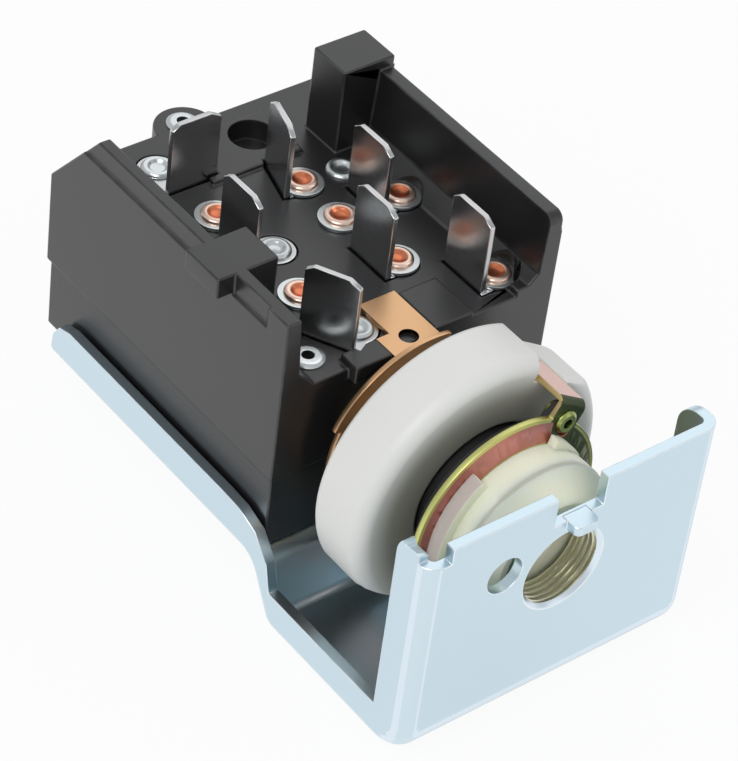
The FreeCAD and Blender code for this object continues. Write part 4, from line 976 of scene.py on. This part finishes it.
def endTree(tree, start, points, instance, rotation, scale=None):
    # Sets the instance on every point, then makes it real and paints it
    nodes, links = tree.nodes, tree.links
    end = nodes.new("NodeGroupOutput")
    spread = nodes.new("GeometryNodeInstanceOnPoints")
    links.new(points.outputs["Points"], spread.inputs["Points"])
    links.new(instance, spread.inputs["Instance"])
    links.new(rotation, spread.inputs["Rotation"])
    if scale:
        links.new(scale, spread.inputs["Scale"])
    real = nodes.new("GeometryNodeRealizeInstances")
    links.new(spread.outputs["Instances"], real.inputs["Geometry"])
    paint = nodes.new("GeometryNodeSetMaterial")
    links.new(start.outputs["Material"], paint.inputs["Material"])
    links.new(real.outputs["Geometry"], paint.inputs["Geometry"])
    links.new(paint.outputs["Geometry"], end.inputs["Geometry"])


def makeScatterTree():
    # One instance of a given object on each point of the mesh, turned at random about Z
    tree, start, points = newTree(
        "rivetScatter", {"Piece": "Object", "Seed": "Int", "Size Spread": "Float"})
    nodes, links = tree.nodes, tree.links
    piece = nodes.new("GeometryNodeObjectInfo")
    links.new(start.outputs["Piece"], piece.inputs["Object"])
    turn = nodes.new("FunctionNodeRandomValue")
    turn.data_type = "FLOAT_VECTOR"
    turn.inputs["Min"].default_value = (0, 0, 0)
    turn.inputs["Max"].default_value = (0, 0, 2 * math.pi)
    links.new(start.outputs["Seed"], turn.inputs["Seed"])
    size = nodes.new("FunctionNodeRandomValue")
    size.data_type = "FLOAT"
    # A Random Value node keeps its plain numbers in these sockets
    smallest, largest, drawn = size.inputs[2], size.inputs[3], size.outputs[1]
    links.new(mathNode(tree, "SUBTRACT", 1.0, start.outputs["Size Spread"]), smallest)
    largest.default_value = 1.0
    links.new(start.outputs["Seed"], size.inputs["Seed"])
    scale = nodes.new("ShaderNodeCombineXYZ")
    scale.inputs["Z"].default_value = 1.0
    links.new(drawn, scale.inputs["X"])
    links.new(drawn, scale.inputs["Y"])
    endTree(tree, start, points, piece.outputs["Geometry"], turn.outputs[0], scale.outputs[0])
    return tree


def plainFromTree(name, points, tree, values, finish):
    # Runs a geometry node tree over the points and keeps the result as a plain mesh
    base = bpy.data.meshes.new(f"{name}_points")
    base.from_pydata([tuple(point) for point in points], [], [])
    holder = bpy.data.objects.new(f"{name}_points", base)
    bpy.context.scene.collection.objects.link(holder)
    made = holder.modifiers.new("tree", "NODES")
    made.node_group = tree
    sockets = {item.name: item.identifier for item in tree.interface.items_tree
               if item.item_type == "SOCKET" and item.in_out == "INPUT"}
    for label, value in {**values, "Material": finishes[finish]}.items():
        made[sockets[label]] = value
    bpy.context.view_layer.update()
    graph = bpy.context.evaluated_depsgraph_get()
    mesh = bpy.data.meshes.new_from_object(holder.evaluated_get(graph), depsgraph=graph)
    holder.modifiers.remove(made)
    bpy.data.objects.remove(holder)
    mesh.name = name
    mesh.materials.clear()
    mesh.materials.append(finishes[finish])
    piece = bpy.data.objects.new(name, mesh)
    bpy.context.scene.collection.objects.link(piece)
    return piece


scatterTree = makeScatterTree()
for nodeName, finish, slot, profile in (
        ("contact_rivets", "rivetCopper", "copper", "contactProfile"),
        ("plain_rivets", "rivetZinc", "zinc", "plainProfile")):
    head = turnedProfile(f"{nodeName}_head", rivetShapes[profile] + rivetShapes["stem"])
    piece = plainFromTree(f"{nodeName}_finished", axesOf(nodeName), scatterTree, {
        "Piece": head, "Seed": rivetShapes["seed"], "Size Spread": rivetShapes["sizeSpread"]}, finish)
    bpy.data.objects.remove(head)
    placePiece(piece, nodeName, "case")
print("rivets set by geometry nodes")


# The resistance wire, wound along an open ring behind the dial: mm and degrees
winding = {
    "ringRadius": 13.4,
    "middleY": 22.3,
    "turnRadius": 0.93,
    "wire": 0.16,
    "turns": 170,
    "sweep": 328.0,
    "start": 1.0,
    "loopSteps": 14,
    "wireSteps": 6,
}


def circleNode(tree, steps, radius):
    circle = tree.nodes.new("GeometryNodeCurvePrimitiveCircle")
    circle.inputs["Resolution"].default_value = steps
    tree.links.new(radius, circle.inputs["Radius"])
    return circle.outputs["Curve"]


def makeWindingTree():
    # Wire turns stood on the points of an arc, each facing along it
    tree, start, points = newTree("wireWinding", {"Turn Radius": "Float", "Wire Radius": "Float"})
    nodes, links = tree.nodes, tree.links
    wire = nodes.new("GeometryNodeCurveToMesh")
    links.new(circleNode(tree, winding["loopSteps"], start.outputs["Turn Radius"]),
              wire.inputs["Curve"])
    links.new(circleNode(tree, winding["wireSteps"], start.outputs["Wire Radius"]),
              wire.inputs["Profile Curve"])
    place = nodes.new("GeometryNodeInputPosition")
    parts = nodes.new("ShaderNodeSeparateXYZ")
    links.new(place.outputs[0], parts.inputs[0])
    angle = mathNode(tree, "ARCTAN2", parts.outputs["Z"], parts.outputs["X"])
    turn = nodes.new("ShaderNodeCombineXYZ")
    links.new(mathNode(tree, "MULTIPLY", angle, -1.0), turn.inputs["Y"])
    endTree(tree, start, points, wire.outputs["Mesh"], turn.outputs[0])
    return tree


def addWinding():
    points = []
    for number in range(winding["turns"]):
        share = number / (winding["turns"] - 1)
        angle = math.radians(winding["start"] + winding["sweep"] * share)
        points.append(Vector((winding["ringRadius"] * math.cos(angle) * mm, winding["middleY"] * mm,
                              winding["ringRadius"] * math.sin(angle) * mm)))
    piece = plainFromTree("resistance_coil_finished", points, makeWindingTree(), {
        "Turn Radius": winding["turnRadius"] * mm, "Wire Radius": winding["wire"] * mm}, "coilWire")
    piece.data.shade_smooth()
    placePiece(piece, "resistance_coil", "dimmer")


addWinding()
print("resistance wire wound:", winding["turns"], "turns")


# The bracket's softened edges and the thread cut into its collar: mm, degrees, and the ridge's
# half widths as shares of the pitch
thread = {
    "major": 5.95,
    "minor": 5.53,
    "pitch": 0.79,
    "start": -0.95,
    "end": 3.25,
    "stepsPerTurn": 72,
    "fadeSteps": 20,
    "sunk": 0.05,
    "rootHalf": 0.40,
    "crestHalf": 0.09,
    "drillEnd": 6.0,
    "drillSteps": 96,
    "sheetRound": 0.12,
    "roundAbove": 40,
}


def threadRidge():
    # A helical ridge that stands in from the bored wall, tapered out at both ends
    bm = bmesh.new()
    pitch, root, crestWide = thread["pitch"], thread["rootHalf"], thread["crestHalf"]
    turns = (thread["end"] - thread["start"]) / pitch
    steps = int(turns * thread["stepsPerTurn"])
    behind = thread["major"] + thread["sunk"]
    rings = []
    for step in range(steps + 1):
        angle = 2 * math.pi * step / thread["stepsPerTurn"]
        along = thread["start"] + pitch * step / thread["stepsPerTurn"]
        fade = min(1.0, step / thread["fadeSteps"], (steps - step) / thread["fadeSteps"])
        crest = thread["major"] - (thread["major"] - thread["minor"]) * fade
        profile = ((behind, -root), (crest, -crestWide), (crest, crestWide), (behind, root))
        rings.append([aboutY(bm, radius, along + shift * pitch, angle) for radius, shift in profile])
    sweepRings(bm, rings)
    bmesh.ops.recalc_face_normals(bm, faces=bm.faces)
    mesh = bpy.data.meshes.new("threadRidge")
    bm.to_mesh(mesh)
    bm.free()
    return mesh


def boredCopy(bm):
    # Cuts the thread's outer diameter out of the bracket with a boolean
    mesh = bpy.data.meshes.new("bracketPlain")
    bm.to_mesh(mesh)
    bm.free()
    plain = bpy.data.objects.new("bracketPlain", mesh)
    drillMesh = bmesh.new()
    turn = Matrix.Rotation(math.radians(90), 4, "X")
    start, end = thread["start"], thread["drillEnd"]
    bmesh.ops.create_cone(drillMesh, cap_ends=True, segments=thread["drillSteps"],
                          radius1=thread["major"] * mm, radius2=thread["major"] * mm,
                          depth=(end - start) * mm,
                          matrix=Matrix.Translation((0, (start + end) / 2 * mm, 0)) @ turn)
    mesh = bpy.data.meshes.new("threadDrill")
    drillMesh.to_mesh(mesh)
    drillMesh.free()
    drill = bpy.data.objects.new("threadDrill", mesh)
    for item in (plain, drill):
        bpy.context.scene.collection.objects.link(item)
    cut = plain.modifiers.new("bore", "BOOLEAN")
    cut.operation = "DIFFERENCE"
    cut.solver = "EXACT"
    cut.object = drill
    bpy.context.view_layer.update()
    result = bmesh.new()
    evaluated = plain.evaluated_get(bpy.context.evaluated_depsgraph_get())
    result.from_mesh(evaluated.to_mesh())
    for item in (plain, drill):
        bpy.data.objects.remove(item)
    return result


# The flange's front top corner, which slopes down to the relief at the bend, in mm
cornerSlope = {
    "insideX": -19.2,
    "reachY": 3.2,
    "floorZ": 10.4,
    "outsideX": -22.3,
    "keepOutside": 0.50,
    "keepInside": 0.02,
}


def slopeCorner(bm):
    low, high = cornerSlope["outsideX"], cornerSlope["insideX"]
    floor = cornerSlope["floorZ"] * mm
    for vert in bm.verts:
        x, y, z = vert.co.x / mm, vert.co.y / mm, vert.co.z
        if x < high and y < cornerSlope["reachY"] and z > floor:
            share = min(max((x - low) / (high - low), 0.0), 1.0)
            keep = cornerSlope["keepOutside"] + (
                cornerSlope["keepInside"] - cornerSlope["keepOutside"]) * share
            vert.co.z = floor + (z - floor) * keep


# Where painted highlights go on the sheet's bends and side faces and on the collar's mouth: mm, shares of
# the normal and the strength of the painted highlight
sheetHighlightMarks = {
    "bendLow": 0.08,
    "bendNarrow": 0.30,
    "bendWide": 0.90,
    "bendFront": 2.6,
    "bendFacing": -0.05,
    "lineStrength": 0.9,
    "bendStrength": 0.25,
    "mouthRear": -0.8,
    "mouthRadius": 6.2,
    "mouthFacing": -0.95,
}


def sheetHighlights(centre, normal):
    # Painted highlights: light lines where the plate's bends begin and end and on its side faces, a
    # fainter painted highlight across the bends, and the collar's mouth painted bright
    inMouth = math.hypot(centre.x, centre.z) < sheetHighlightMarks["mouthRadius"] * mm
    atFront = centre.y < sheetHighlightMarks["mouthRear"] * mm
    if inMouth and atFront and normal.y > sheetHighlightMarks["mouthFacing"]:
        return 1.0
    if centre.y > sheetHighlightMarks["bendFront"] * mm or normal.y > sheetHighlightMarks["bendFacing"]:
        return 0.0
    across = math.hypot(normal.x, normal.z)
    if sheetHighlightMarks["bendLow"] < across < sheetHighlightMarks["bendNarrow"] or across > sheetHighlightMarks["bendWide"]:
        return sheetHighlightMarks["lineStrength"]
    return sheetHighlightMarks["bendStrength"] if across > sheetHighlightMarks["bendNarrow"] else 0.0


def addBracket():
    bm = mergedNode("bracket")
    slopeCorner(bm)
    roundEdges(bm, thread["sheetRound"], thread["roundAbove"])
    markFaceValues(bm, sheetHighlights)
    bm = boredCopy(bm)
    bm.from_mesh(threadRidge())
    finishPiece(bm, "bracket", "bracketZinc", "case", meshValues["sheetBelow"])


addBracket()
print("bracket threaded and finished")
